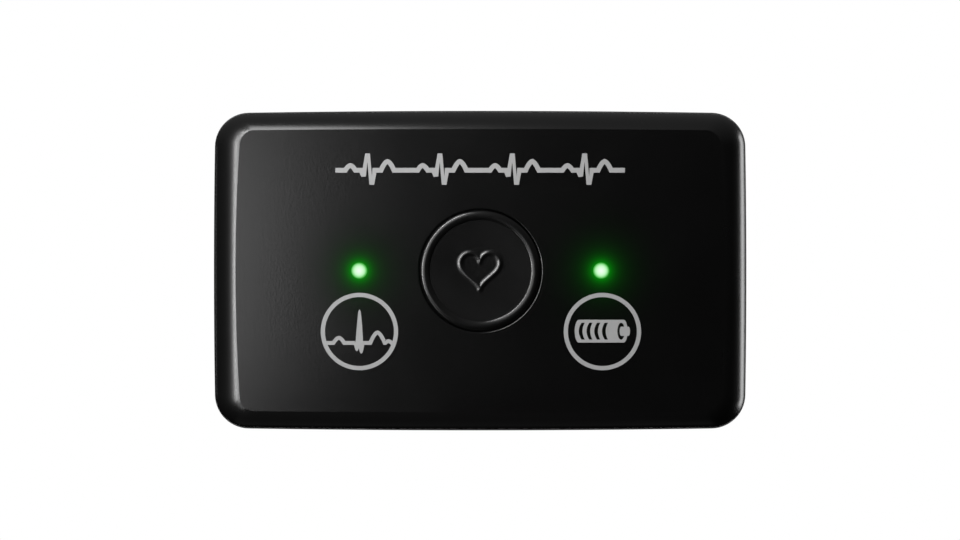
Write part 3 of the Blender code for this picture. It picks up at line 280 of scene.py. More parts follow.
class Skin:
    """A closed skin under construction, drawn lying down."""

    def __init__(self) -> None:
        """Starts with nothing drawn."""
        self.bm = bmesh.new()
        self.creases: list[bmesh.types.BMEdge] = []

    def loop(self, points: Iterable[Place]) -> Loop:
        """Adds a loop of points."""
        return [self.bm.verts.new(point) for point in points]

    def bridge(self, low: Loop, high: Loop, zone: int = 0) -> None:
        """Joins two loops of the same length with a band of faces.

        Args:
            low: The first loop.
            high: The second loop.
            zone: The finish that the band takes.
        """
        for at in range(len(low)):
            after = (at + 1) % len(low)
            self.bm.faces.new((low[at], low[after], high[after], high[at])).material_index = zone

    def loft(self, rings: Rings, zone: int = 0) -> list[Loop]:
        """Adds loops and joins each to the next.

        Args:
            rings: The points of each loop.
            zone: The finish that the bands take.

        Returns:
            The loops.
        """
        rows = [self.loop(ring) for ring in rings]
        for low, high in zip(rows, rows[1:], strict=False):
            self.bridge(low, high, zone)
        return rows

    def wall(self, inner: Rings, outer: Rings) -> tuple[Loop, Loop]:
        """Adds the wall of one half of the case and joins its two sides at the rim.

        Args:
            inner: The rings from the floor or ceiling to the rim's outer edge.
            outer: The rings from there to the outer face.

        Returns:
            The loop round the floor or ceiling and the loop round the outer face.
        """
        rows, outer_rows = self.loft(inner, Zone.INSIDE), self.loft(outer, Zone.SHOULDER)
        self.bridge(rows[-1], outer_rows[0], Zone.SHOULDER)
        return rows[0], outer_rows[-1]

    def openings(
        self, holes: "Iterable[Hole]", surface: Surface, outwards: int
    ) -> tuple[list[Loop], list[Loop]]:
        """Adds holes and gives their loops on the outer surface and on the wall's inner side."""
        rows = [self.loft(hole.rings(surface, outwards), Zone.FACE) for hole in holes]
        return [row[0] for row in rows], [row[-1] for row in rows]

    def post(self, at: Point, radius: float, low: float, high: float) -> None:
        """Adds an inner round post between two heights."""
        self.turn([(0, low), (radius, low), (radius, high), (0, high)], at, SMALL_ROUND, Zone.INSIDE)

    def block(self, middle: Point, half: Point, low: float, high: float) -> None:
        """Adds an inner block with upright sides.

        Args:
            middle: Where its middle lies.
            half: Half its width and half its length.
            low: The height of its foot.
            high: The height of its top.
        """
        corners = [(middle[0] + half[0] * a, middle[1] + half[1] * b) for a, b in quarters((1, 1))]
        for row in self.loft(([(*at, z) for at in corners] for z in (low, high)), Zone.INSIDE):
            self.bm.faces.new(row).material_index = Zone.INSIDE

    def fan(self, loop: Loop, height: float, zone: int = 0) -> None:
        """Closes a round loop on a point in its middle.

        Args:
            loop: The loop to close.
            height: The height of that point.
            zone: The finish that the faces take.
        """
        middle = sum((vert.co for vert in loop), Vector()) / len(loop)
        pole = self.bm.verts.new((middle.x, middle.y, height))
        for at in range(len(loop)):
            self.bm.faces.new((loop[at], loop[(at + 1) % len(loop)], pole)).material_index = zone

    def crease(self, loop: Loop) -> None:
        """Keeps the edges along a loop sharp."""
        for at in range(len(loop)):
            self.creases.append(self.bm.edges.get((loop[at], loop[(at + 1) % len(loop)])))

    def turn(
        self, profile: Profile, centre: Point = (0, 0), steps: int = MIDDLE_ROUND, zone: int = 0
    ) -> None:
        """Adds a turned solid. A profile that starts or ends on the axis is closed there.

        Args:
            profile: Points of radius and height, from the bottom outwards and up.
            centre: Where the axis stands.
            steps: How many faces go round.
            zone: The finish that it takes.
        """
        rounds = [(radius, height) for radius, height in profile if radius > ON_AXIS]
        rings = (level_circle(centre, radius, height, steps) for radius, height in rounds)
        rows = self.loft(rings, zone)
        if profile[0][0] > ON_AXIS:
            self.bridge(rows[-1], rows[0], zone)
            return
        self.fan(rows[0], profile[0][1], zone)
        self.fan(rows[-1], profile[-1][1], zone)

    def sheet(
        self, outline: Loop, holes: list[Loop], surface: Surface, spacing: float, zone: int = 0
    ) -> None:
        """Fills a loop with triangles that leave holes free, and creases its borders.

        Args:
            outline: The loop to fill.
            holes: The loops to leave open.
            surface: The sheet's height at a place.
            spacing: How far apart the sheet's inner points lie.
            zone: The finish that it takes.
        """
        loops = [outline, *holes]
        known = [vert for loop in loops for vert in loop]
        edges, first = [], 0
        for loop in loops:
            edges += [(first + at, first + (at + 1) % len(loop)) for at in range(len(loop))]
            first += len(loop)
        shapes = [[(vert.co.x, vert.co.y) for vert in loop] for loop in loops]
        border = np.array([place for shape in shapes for place in shape])
        reach = np.abs(border).max(axis=0)
        columns, lines = (int(size / spacing) for size in reach)
        inner = []
        for column in range(-columns, columns + 1):
            for line in range(-lines, lines + 1):
                place = ((column + 0.5 * (line % 2)) * spacing, line * spacing)
                clear = np.hypot(*(border - place).T).min() > spacing * BORDER_SHARE
                if clear and covered(place, *shapes):
                    inner.append(place)
        places = [Vector((x / MM, y / MM)) for x, y in [*map(tuple, border), *inner]]
        flat, _, faces, origins, _, _ = delaunay_2d_cdt(places, edges, [], 0, SAME_POINT)
        verts = []
        for place, origin in zip(flat, origins, strict=True):
            x, y = place * MM
            is_known = origin and origin[0] < len(known)
            verts.append(known[origin[0]] if is_known else self.bm.verts.new((x, y, surface(x, y))))
        for face in faces:
            middle = sum((flat[at] for at in face), Vector((0, 0))) / len(face) * MM
            if covered(middle, *shapes):
                self.bm.faces.new([verts[at] for at in face]).material_index = zone
        for loop in loops:
            self.crease(loop)

    def mesh(self, name: str) -> bpy.types.Mesh:
        """Turns the faces outwards, shades them smooth between sharp edges and makes the mesh.

        Args:
            name: The mesh's name.

        Returns:
            The mesh.
        """
        bmesh.ops.recalc_face_normals(self.bm, faces=self.bm.faces)
        for face in self.bm.faces:
            face.smooth = True
        for edge in self.bm.edges:
            edge.smooth = edge.calc_face_angle(0) < SHARP_FROM
        for edge in self.creases:
            edge.smooth = False
        made = bpy.data.meshes.new(name)
        self.bm.to_mesh(made)
        self.bm.free()
        return made

    def piece(self, name: str, finishes: "Sequence[Finish]", slot: str, **traits: object) -> Piece:
        """Ends the skin as a piece, with the finishes that its zones stand for."""
        return Piece(new_object(name, self.mesh(name), *finishes), slot, **traits)


def turned(profile: Profile, steps: int = MIDDLE_ROUND) -> Skin:
    """A skin that holds one turned solid, at the origin.

    Args:
        profile: Points of radius and height, from the bottom outwards and up.
        steps: How many faces go round.

    Returns:
        The skin.
    """
    skin = Skin()
    skin.turn(profile, steps=steps)
    return skin


@dataclass(frozen=True)
class Outline:
    """A rounded rectangle whose four sides are shallow arcs, seen from the front."""

    half_width: float
    half_height: float
    side_bow: float
    end_bow: float
    corner: float

    def inset(self, distance: float) -> "Outline":
        """Draws the outline in by a distance on every side.

        Args:
            distance: How far.

        Returns:
            The smaller outline.
        """
        width, height = self.half_width - distance, self.half_height - distance
        corner = max(self.corner - distance, self.corner * LEAST_CORNER)
        return replace(self, half_width=width, half_height=height, corner=corner)

    def towards(self, other: "Outline", share: float) -> "Outline":
        """The outline that lies a share of the way to another one."""
        pairs = zip(astuple(self), astuple(other), strict=True)
        return Outline(*(start + (end - start) * share for start, end in pairs))

    def quadrant(self) -> list[Point]:
        """Draws the first quarter, from the middle of the right side to the middle of the top.

        Returns:
            The points along it.
        """
        out, up = self.side_bow + self.corner, self.end_bow + self.corner
        centre_x, centre_y = self.half_width - out, self.half_height - up
        side_radius = (out**2 + centre_y**2 - self.corner**2) / (2 * self.side_bow)
        end_radius = (up**2 + centre_x**2 - self.corner**2) / (2 * self.end_bow)
        side_turn = math.asin(centre_y / (side_radius - self.corner))
        end_turn = math.asin(centre_x / (end_radius - self.corner))
        side_turns = [side_turn * step / SIDE_STEPS for step in range(SIDE_STEPS)]
        middle = self.half_width - side_radius
        points = [(middle + side_radius * math.cos(a), side_radius * math.sin(a)) for a in side_turns]
        sweep = math.pi / 2 - side_turn - end_turn
        for step in range(CORNER_STEPS + 1):
            a = side_turn + sweep * step / CORNER_STEPS
            points.append((centre_x + self.corner * math.cos(a), centre_y + self.corner * math.sin(a)))
        end_turns = [end_turn * step / SIDE_STEPS for step in reversed(range(SIDE_STEPS))]
        middle = self.half_height - end_radius
        return points + [(end_radius * math.sin(a), middle + end_radius * math.cos(a)) for a in end_turns]

    def ring(self, height: float) -> list[Place]:
        """Draws the whole outline at a height, anticlockwise from the middle of the right side.

        Args:
            height: The height.

        Returns:
            The points along it.
        """
        first = self.quadrant()
        upper = first + [(-x, y) for x, y in reversed(first[:-1])]
        return [(x, y, height) for x, y in upper + [(x, -y) for x, y in reversed(upper[1:-1])]]


@dataclass(frozen=True)
class Hole:
    """A round hole through a wall: its broken edge, then the steps inside it."""

    centre: Point
    radius: float
    edge: float
    inside: tuple[Point, ...]
    steps: int = MIDDLE_ROUND

    def rings(self, surface: Surface, outwards: int) -> list[list[Place]]:
        """The hole's loops from the outer surface to the wall's inner side.

        Args:
            surface: The outer surface's height at a place.
            outwards: 1 where the surface looks up, -1 where it looks down.

        Returns:
            The points of each loop.
        """
        rings = []
        for wide, sunk in rounding(self.radius, 0.0, self.edge, HOLE_STEPS, -1):
            places = circle(self.centre, wide, self.steps)
            rings.append([(x, y, surface(x, y) - outwards * sunk) for x, y in places])
        return rings + [level_circle(self.centre, radius, z, self.steps) for radius, z in self.inside]


# Finishes


class Shader(Nodes):
    """A material under construction, which knows its surface and where a point lies on the piece."""

    def __init__(self, name: str) -> None:
        """Starts a material.

        Args:
            name: The material's name.
        """
        self.material = bpy.data.materials.new(name)
        self.material.use_nodes = True
        super().__init__(self.material.node_tree)
        self.surface = self.tree.nodes["Principled BSDF"]
        self.place = self.step("ShaderNodeTexCoord", output="Object")

    def nearest(self, spot: Socket, places: Iterable[Place]) -> Socket:
        """Works out how far a spot lies from the nearest of some places.

        Args:
            spot: The spot, as another node gives it.
            places: The places.

        Returns:
            The distance.
        """
        away = {}
        for number, place in enumerate(places):
            ends = {0: spot, 1: place}
            away[number] = self.step("ShaderNodeVectorMath", ends, "Value", operation="DISTANCE")
        return self.step("ShaderNodeMath", away, operation="MINIMUM")


@dataclass(frozen=True)
class Finish:
    """What every finish has: its name, colour and gloss, and a grain that is too fine to be drawn as mesh."""

    name: str
    colour: str
    roughness: float
    tone: str = ""
    patch_mm: float = 6.0
    unevenness: float = 0.04
    grain_mm: float = 0.25
    grain_depth_mm: float = 0.004
    metallic: float = 0.0
    ior: float = 1.5
    sheen: float = 0.5

    def material(self) -> bpy.types.Material:
        """The finish's material, made when it is first needed."""
        return bpy.data.materials.get(self.name) or self.make()

    def make(self) -> bpy.types.Material:
        """Builds the colour, the uneven gloss and the grain, and lets each finish add its own marks.

        Returns:
            The new material.
        """
        shader = Shader(self.name)
        noises = []
        for size_mm, detail in ((self.patch_mm, PATCH_DETAIL), (self.grain_mm, GRAIN_DETAIL)):
            blotches = {"Vector": shader.place, "Scale": 1 / (size_mm * MM), "Detail": detail}
            noises.append(shader.step("ShaderNodeTexNoise", blotches, "Fac"))
        patches, grain = noises
        gloss = {
            "Value": patches,
            "From Min": PATCH_RANGE[0],
            "From Max": PATCH_RANGE[1],
            "To Min": self.roughness - self.unevenness,
            "To Max": self.roughness + self.unevenness,
        }
        bump = {
            "Height": self.relief(shader, grain),
            "Distance": self.grain_depth_mm * MM,
            "Strength": 1.0,
        }
        given = {
            "Metallic": self.metallic,
            "IOR": self.ior,
            "Specular IOR Level": self.sheen,
            "Base Color": linear(self.colour),
            "Roughness": shader.step("ShaderNodeMapRange", gloss, "Result"),
            "Normal": shader.step("ShaderNodeBump", bump),
        }
        fill(shader.surface, given)
        if self.tone:
            # The mix node's inputs 6 and 7 and its output 2 are the ones for colours
            tones = {"Factor": patches, 6: linear(self.colour), 7: linear(self.tone)}
            fill(shader.surface, {"Base Color": shader.step("ShaderNodeMix", tones, 2, data_type="RGBA")})
        self.mark(shader)
        return shader.material

    def relief(self, shader: Shader, grain: Socket) -> Socket:
        """The height that the bump follows: the plain grain, unless a finish has its own."""
        return grain

    def mark(self, shader: Shader) -> None:
        """Adds what only this finish has: nothing, unless a finish has its own."""


@dataclass(frozen=True)
class EtchedFace(Finish):
    """Black ABS from an etched mould, with a painted green glow round the two lights: emission that stands in
    for what leaks through the thin wall, and a sheen dulled there.
    """

    lights: tuple[Place, ...] = ()
    painted_glow: str = "#00FF17"
    # How strong each part of the painted glow and of the dulled sheen is at a light, and over how many
    # millimetres it fades
    near: Point = (1.36, 0.487)
    far: Point = (0.083, 1.53)
    dimming: Point = (1.25, 3.0)

    def mark(self, shader: Shader) -> None:
        """Paints a green glow on the plastic as emission, by its distance from the nearer light, and dulls
        its sheen there.

        Args:
            shader: The material.
        """
        nearer = shader.nearest(shader.place, [(x, -z, y) for x, y, z in self.lights])
        fades = []
        for share, size_mm in (self.near, self.far, self.dimming):
            power = shader.step("ShaderNodeMath", {0: nearer, 1: -1 / (size_mm * MM)}, operation="MULTIPLY")
            fall = shader.step("ShaderNodeMath", {0: power}, operation="EXPONENT")
            fades.append(shader.step("ShaderNodeMath", {0: fall, 1: share}, operation="MULTIPLY"))
        dulled = {"Value": fades[2], "To Min": self.sheen, "To Max": 0.0}
        # The emission is a painted green glow, not light from a lamp, and the sheen is dulled in the same
        # rings
        lit = {
            "Emission Strength": shader.step("ShaderNodeMath", {0: fades[0], 1: fades[1]}, operation="ADD"),
            "Emission Color": linear(self.painted_glow),
            "Specular IOR Level": shader.step("ShaderNodeMapRange", dulled, "Result"),
        }
        fill(shader.surface, lit)


@dataclass(frozen=True)
class LitPipe(Finish):
    """Clear polycarbonate with a green light behind it: nearly white in the middle, darker round its edge."""

    lights: tuple[Place, ...] = ()
    radius: float = 1.07 * MM
    shades: tuple[tuple[float, str], ...] = (
        (0.0, "#F2FFF2"),
        (0.26, "#E5FFE5"),
        (0.52, "#CBFBCB"),
        (0.65, "#B6F1B6"),
        (0.78, "#8CDD8C"),
        (0.91, "#49B049"),
        (1.0, "#2A8C2A"),
    )

    def mark(self, shader: Shader) -> None:
        """Colours the light by its distance from the pipe's axis.

        Args:
            shader: The material.
        """
        flat = shader.step("ShaderNodeVectorMath", {0: shader.place, 1: (1, 0, 1)}, operation="MULTIPLY")
        nearer = shader.nearest(flat, [(x, 0, y) for x, y, _ in self.lights])
        share = shader.step("ShaderNodeMath", {0: nearer, 1: self.radius}, operation="DIVIDE")
        ramp = add_node(shader.tree, "ShaderNodeValToRGB", {"Fac": share})
        stops = ramp.color_ramp.elements
        while len(stops) < len(self.shades):
            stops.new(0.5)
        for stop, (position, shade) in zip(stops, self.shades, strict=True):
            stop.position, stop.color = position, linear(shade)
        fill(shader.surface, {"Emission Color": ramp.outputs["Color"], "Emission Strength": 1.0})


@dataclass(frozen=True)
class TurnedMetal(Finish):
    """Metal turned on a lathe, with fine rings round each piece's own axis."""

    ring_mm: float = 0.12

    def relief(self, shader: Shader, grain: Socket) -> Socket:
        """Makes fine rings round the piece's own axis, broken up by the grain.

        Args:
            shader: The material.
            grain: The plain grain's height.

        Returns:
            The height that the bump follows.
        """
        away = shader.step("ShaderNodeAttribute", output="Fac", attribute_name=AXIS_DISTANCE)
        pace = {0: away, 1: math.tau / (self.ring_mm * MM)}
        waves = {0: shader.step("ShaderNodeMath", pace, operation="MULTIPLY")}
        rings = shader.step("ShaderNodeMath", waves, operation="SINE")
        return shader.step("ShaderNodeMath", {0: rings, 1: grain}, operation="MULTIPLY")


@dataclass(frozen=True)
class CrinkledFoil(Finish):
    """Aluminium laminate film pressed round a cell, with soft creases."""

    crease_mm: float = 3.0

    def relief(self, shader: Shader, grain: Socket) -> Socket:
        """Makes creases between irregular cells, with a little grain on them.

        Args:
            shader: The material.
            grain: The plain grain's height.

        Returns:
            The height that the bump follows.
        """
        cells = {"Vector": shader.place, "Scale": 1 / (self.crease_mm * MM), "Smoothness": 0.8}
        creases = shader.step("ShaderNodeTexVoronoi", cells, "Distance", feature="SMOOTH_F1")
        return shader.step("ShaderNodeMath", {0: creases, 1: grain}, operation="ADD")


@dataclass(frozen=True)
class SolderMask(Finish):
    """Green solder mask over copper, with the tracks showing through as paler lines."""

    track: str = "#1F6B34"
    track_mm: float = 0.9
    gap_share: float = 0.12
    length_share: float = 7.0

    def mark(self, shader: Shader) -> None:
        """Draws straight tracks that run across the board in blocks.

        Args:
            shader: The material.
        """
        width = self.track_mm * MM
        laid = {"Vector": shader.place, "Rotation": (math.radians(90), 0, 0)}
        tracks = {
            "Vector": shader.step("ShaderNodeMapping", laid),
            "Color1": linear(self.colour),
            "Color2": linear(self.tone),
            "Mortar": linear(self.track),
            "Scale": 1.0,
            "Mortar Size": width * self.gap_share,
            "Brick Width": width * self.length_share,
            "Row Height": width,
        }
        fill(shader.surface, {"Base Color": shader.step("ShaderNodeTexBrick", tracks)})


# Polished ABS, moulded against a polished wall: deep black that shows the room as clear, narrow bands
POLISHED = Finish(
    "polished black ABS",
    "#0C0C0C",
    0.265,
    patch_mm=12.0,
    unevenness=0.015,
    grain_mm=0.8,
    grain_depth_mm=0.0015,
)
# Fine-etched ABS, moulded against a blasted wall: a soft dark grey sheen that doesn't slip on the skin
BACK_ABS = Finish(
    "fine-etched black ABS", "#131313", 0.42, tone="#181818", grain_mm=0.22, grain_depth_mm=0.01
)
# Inner ABS, moulded against a milled wall: dull and a little paler than the outside
INNER_ABS = Finish("moulded inner ABS", "#191919", 0.6, tone="#1E1E1E", grain_mm=0.5, grain_depth_mm=0.012)
# Satin ABS, moulded against a fine stone finish: its low relief catches thin glints
CAP_ABS = Finish("satin black ABS", "#080808", 0.22, patch_mm=5.0, unevenness=0.02, grain_mm=0.2)
# Screen ink, printed and cured: an even matt grey film with a slight mottle
INK = Finish(
    "grey screen ink", "#949494", 0.55, tone="#989898", patch_mm=0.6, grain_mm=0.12, grain_depth_mm=0.003
)
# Silicone rubber, compression moulded: soft, dull and slightly blotched, grey for the seal
SEAL_RUBBER = Finish("grey silicone rubber", "#63666B", 0.62, tone="#6C6F75", grain_mm=0.3, ior=1.41)
# The same rubber in black, for the membrane under the cap
DARK_RUBBER = Finish("black silicone rubber", "#1A1B1E", 0.6, tone="#222327", grain_mm=0.3, ior=1.41)
# Stainless steel, cold headed and turned: warm grey with fine rings that drag the highlights round
SCREW_STEEL = TurnedMetal("turned stainless steel", "#B9B7B2", 0.26, metallic=1.0, grain_depth_mm=0.006)
# Spring steel, drawn and tumbled: an even, slightly blue grey shine
SPRING_STEEL = Finish(
    "drawn spring steel", "#A7A8AA", 0.3, metallic=1.0, tone="#97989A", grain_depth_mm=0.003
)
# Tinned steel, rolled and pressed: pale and milky, with soft patches in the tin
SHIELD_STEEL = Finish("tinned shield steel", "#BFC1C2", 0.34, metallic=1.0, tone="#AEB1B3", patch_mm=3.0)
# Nickel plate over turned brass: bright with a yellow tinge, and the tool's rings show through
NICKEL = TurnedMetal("plated nickel", "#C9C3B6", 0.2, metallic=1.0, grain_depth_mm=0.004, ring_mm=0.16)
# Hard gold plate over a turned pin: a warm mirror, dulled by very fine rings
GOLD = TurnedMetal("plated gold", "#E3B655", 0.2, metallic=1.0, grain_depth_mm=0.003)
# Gold flash over rolled bronze: paler and a little uneven, because the plate is thin
LEAF_GOLD = Finish("rolled gold-plated bronze", "#DDB05A", 0.26, metallic=1.0, tone="#CFA24D", patch_mm=1.5)
# Glass-filled epoxy, transfer moulded: charcoal with a fine dry grain
CHIP_RESIN = Finish("moulded chip epoxy", "#1B1C1F", 0.5, tone="#222326", patch_mm=1.5, grain_mm=0.12)
# Solder mask over glass laminate, curtain coated: glossy deep green with the tracks as paler lines
LAMINATE = SolderMask("solder-masked laminate", "#0E4A22", 0.34, tone="#0C431F", grain_mm=0.4)
# Pouch foil, aluminium laminate pressed round a cell: silvery, with soft creases
FOIL = CrinkledFoil(
    "laminated pouch foil", "#B9BDC2", 0.32, metallic=0.9, tone="#A9ADB3", grain_depth_mm=0.03
)
# Double-sided tape, acrylic foam: nearly black and quite without shine
TAPE = Finish("double-sided tape", "#26272B", 0.75, tone="#2E2F33", patch_mm=2.0, grain_mm=0.4)
# Silicone insulation, extruded: smooth and rubbery, red on the one lead
RED_LEAD = Finish("red silicone lead", "#B3201C", 0.42, tone="#A31C19", patch_mm=2.0, ior=1.41)
# The same insulation in black, on the other lead
BLACK_LEAD = Finish("black silicone lead", "#161616", 0.42, tone="#1D1D1D", patch_mm=2.0, ior=1.41)
# Natural nylon, injection moulded: waxy and cream coloured, as connectors are
PALE_NYLON = Finish("pale moulded nylon", "#E4DFD0", 0.45, tone="#DDD7C6", patch_mm=2.0, grain_mm=0.2)
# Filled nylon, injection moulded: dull black with a fine grain
DARK_NYLON = Finish("black moulded nylon", "#17181A", 0.5, tone="#1E1F21", patch_mm=2.0, grain_mm=0.2)
# Diode resin, cast over the chip: pale yellow green and slightly glossy
LED_RESIN = Finish("lit diode resin", "#D8E8C8", 0.3, tone="#CFE0BE", patch_mm=0.6, grain_mm=0.1)

INSIDE_FINISHES = {
    SEAL_RUBBER: ("perimeter_seal",),
    FOIL: ("battery_cell",),
    TAPE: ("battery_tape",),
    LAMINATE: ("circuit_board",),
    SHIELD_STEEL: ("radio_module", "clock_crystal", "switch_cover"),
    CHIP_RESIN: ("processor_chip", "memory_chip", "front_end_chip"),
    DARK_NYLON: ("switch_body", "switch_plunger", "seal_clamp"),
    LED_RESIN: ("ecg_led", "battery_led"),
    LEAF_GOLD: ("contact_spring_1", "contact_spring_2", "contact_spring_3"),
    PALE_NYLON: ("battery_socket", "battery_plug"),
    RED_LEAD: ("battery_lead_red",),
    BLACK_LEAD: ("battery_lead_black",),
}


# The case


def shoulder(low: Outline, high: Outline, start: float, rise: float, turn: float) -> list[list[Place]]:
    """Draws rings from the case's side round to one of its faces, along an arc short of a quarter turn.

    Args:
        low: The outline where the side ends.
        high: The outline of the face.
        start: The height where the side ends.
        rise: How far the face's edge lies above that.
        turn: How far the shoulder has turned where it meets the face.

    Returns:
        The points of each loop.
    """
    rings = []
    for step in range(SHOULDER_STEPS + 1):
        angle = turn * step / SHOULDER_STEPS
        drawn_in = (1 - math.cos(angle)) / (1 - math.cos(turn))
        rings.append(low.towards(high, drawn_in).ring(start + rise * math.sin(angle) / math.sin(turn)))
    return rings


def knee(low: Outline, end: Outline, level: float, rise: float) -> list[list[Place]]:
    """The rings of the inner corner from the floor or ceiling out to the wall, which starts a rise off it."""
    turns = (math.radians(90 * step / KNEE_STEPS) for step in reversed(range(KNEE_STEPS + 1)))
    return [low.towards(end, 1 - math.cos(a)).ring(level + rise * (1 - math.sin(a))) for a in turns]


@dataclass(frozen=True)
class CaseForm:
    """What the two halves of the case share: outlines, rims and the stack of heights."""

    silhouette: Outline = Outline(35.0 * MM, 21.0 * MM, 0.13 * MM, 0.245 * MM, 4.5 * MM)
    face: Outline = Outline(31.95 * MM, 18.5 * MM, 0.53 * MM, 0.155 * MM, 2.0 * MM)
    skin_face: Outline = Outline(31.0 * MM, 17.0 * MM, 0.1 * MM, 0.1 * MM, 3.0 * MM)
    side_draft: float = 0.25 * MM
    edge_break: float = 0.2 * MM
    outer_lip: float = 0.85 * MM
    groove_width: float = 1.1 * MM
    inner_lip: float = 0.65 * MM
    back_depth: float = 5.0 * MM
    floor: float = 1.5 * MM
    ceiling: float = 11.2 * MM
    face_edge: float = 12.4 * MM
    face_crown: float = 0.3 * MM
    screw: Point = (28.0 * MM, 14.0 * MM)
    post: Point = (21.0 * MM, 14.5 * MM)
    light: float = 15.8 * MM
    snaps: tuple[Point, ...] = ((-24.5 * MM, 0.0), (24.5 * MM, 0.0), (0.0, -10.7 * MM))
    contacts: tuple[Point, ...] = tuple((x * MM, -13.0 * MM) for x in (7.75, 10.55, 13.35, 16.15))

    @property
    def chamber(self) -> Outline:
        """The outline of the room inside, at the parting line."""
        return self.silhouette.inset(self.outer_lip + self.groove_width + self.inner_lip)

    def face_height(self, x: float, y: float) -> float:
        """The height of the face at a place: crowned both ways, and level all round its edge.

        Args:
            x: How far right the place is.
            y: How far up it is.

        Returns:
            The height.
        """
        face = self.face
        across = x / (face.half_width - face.side_bow * (y / face.half_height) ** 2)
        along = y / (face.half_height - face.end_bow * (x / face.half_width) ** 2)
        return self.face_edge + self.face_crown * (1 - across**2) * (1 - along**2)

    def rim(self, *steps: Point) -> list[list[Place]]:
        """The rings of a rim, each given by its distance from the silhouette and its height."""
        return [self.silhouette.inset(distance).ring(height) for distance, height in steps]


CASE = CaseForm()
LIGHT_PLACES = tuple((CASE.light * side, 0.0, CASE.face_height(CASE.light, 0.0)) for side in (-1, 1))

# Etched ABS, black all through: a satin grain that greys it where light grazes. The grain is drawn at
# 0.2 mm, coarser than the real one, so that it shows
ETCHED = EtchedFace(
    "etched black ABS",
    "#050505",
    0.2,
    tone="#060606",
    patch_mm=9.0,
    unevenness=0.01,
    grain_mm=0.2,
    grain_depth_mm=0.008,
    # The painted green glow and the dulled sheen are centred on these places
    lights=LIGHT_PLACES,
)


@dataclass
class FrontShell:
    """The front half: etched face, polished shoulder, tongue for the seal, screw bosses and board posts."""

    opening_radius: float = 8.05 * MM
    light_radius: float = 1.05 * MM
    opening_edge: float = 0.12 * MM
    light_edge: float = 0.05 * MM
    rim: float = 5.05 * MM
    tongue: float = 4.65 * MM
    seal_gap: float = 0.1 * MM
    seal_width: float = 0.9 * MM
    ceiling_inset: float = 1.2 * MM
    ceiling_knee: float = 1.8 * MM
    shoulder_rise: float = 3.6 * MM
    shoulder_turn: float = math.radians(68)
    boss_radius: float = 2.35 * MM
    bore_radius: float = 1.05 * MM
    bore_depth: float = 4.35 * MM
    post_radius: float = 1.5 * MM
    post_foot: float = 6.85 * MM
    collar: Point = (9.1 * MM, 10.3 * MM)
    collar_foot: float = 9.75 * MM
    gusset: float = 1.0 * MM
    gusset_foot: float = 7.2 * MM
    spacing: float = 1.1 * MM

    def wall(self, skin: Skin) -> tuple[Loop, Loop]:
        """Adds the walls, the rim with its tongue and the shoulder.

        Args:
            skin: The skin that takes them.

        Returns:
            The loop round the ceiling and the loop round the face.
        """
        outer = CASE.outer_lip + self.seal_gap
        inner = outer + self.seal_width
        chamber, drawn_in = CASE.chamber, CASE.chamber.inset(self.ceiling_inset)
        inside_rings = knee(chamber.inset(CASE.side_draft), drawn_in, CASE.ceiling, -self.ceiling_knee)
        inside_rings += [chamber.ring(self.rim), *CASE.rim((inner, self.rim), (inner, self.tongue))]
        inside_rings += CASE.rim((outer, self.tongue), (outer, self.rim), (CASE.edge_break, self.rim))
        foot, top = self.rim + CASE.edge_break, CASE.face_edge - self.shoulder_rise
        side = CASE.silhouette.inset(CASE.side_draft)
        halfway = CASE.silhouette.towards(side, 0.5).ring((foot + top) / 2)
        outside_rings = [CASE.silhouette.ring(foot), halfway]
        outside_rings += shoulder(side, CASE.face, top, self.shoulder_rise, self.shoulder_turn)
        return skin.wall(inside_rings, outside_rings)

    def build(self) -> Piece:
        """Makes the whole front half with its real openings.

        Returns:
            The front half.
        """
        skin = Skin()
        ceiling_loop, face_loop = self.wall(skin)
        ends = [((0.0, 0.0), self.opening_radius, self.opening_edge, LARGE_ROUND)]
        for side in (-1, 1):
            ends.append(((CASE.light * side, 0.0), self.light_radius, self.light_edge, MIDDLE_ROUND))
        holes = [Hole(at, radius, edge, ((radius, CASE.ceiling),), steps) for at, radius, edge, steps in ends]
        tops, feet = skin.openings(holes, CASE.face_height, 1)
        skin.sheet(face_loop, tops, CASE.face_height, self.spacing, Zone.FACE)
        skin.sheet(ceiling_loop, feet, lambda x, y: CASE.ceiling, INNER_SPACING, Zone.INSIDE)
        self.inner_parts(skin)
        finishes = (POLISHED, ETCHED, INNER_ABS)
        return skin.piece("front_shell", finishes, "front_plastic", nodes=("front_cover",))

    def inner_parts(self, skin: Skin) -> None:
        """Adds the bosses that take the screws, their gussets, the posts and the collar round the seal.

        Args:
            skin: The skin that takes them.
        """
        root = CASE.ceiling + BITE
        bore = self.rim + self.bore_depth
        boss = [(0, bore), (self.bore_radius, bore), (self.bore_radius, self.rim)]
        boss += [(self.boss_radius, self.rim), (self.boss_radius, root), (0, root)]
        for place in quarters(CASE.screw):
            skin.turn(boss, place, zone=Zone.INSIDE)
            for along, end in enumerate((CASE.chamber.half_width, CASE.chamber.half_height)):
                middle, half = list(place), [self.gusset / 2, self.gusset / 2]
                half[along] = (end - abs(middle[along]) + BITE) / 2
                middle[along] += math.copysign(half[along], middle[along])
                skin.block(middle, half, self.gusset_foot, root)
        for at in quarters(CASE.post):
            skin.post(at, self.post_radius, self.post_foot, root)
        inner, outer = self.collar
        ring = [(inner, self.collar_foot), (outer, self.collar_foot), (outer, root), (inner, root)]
        skin.turn(ring, steps=LARGE_ROUND, zone=Zone.INSIDE)


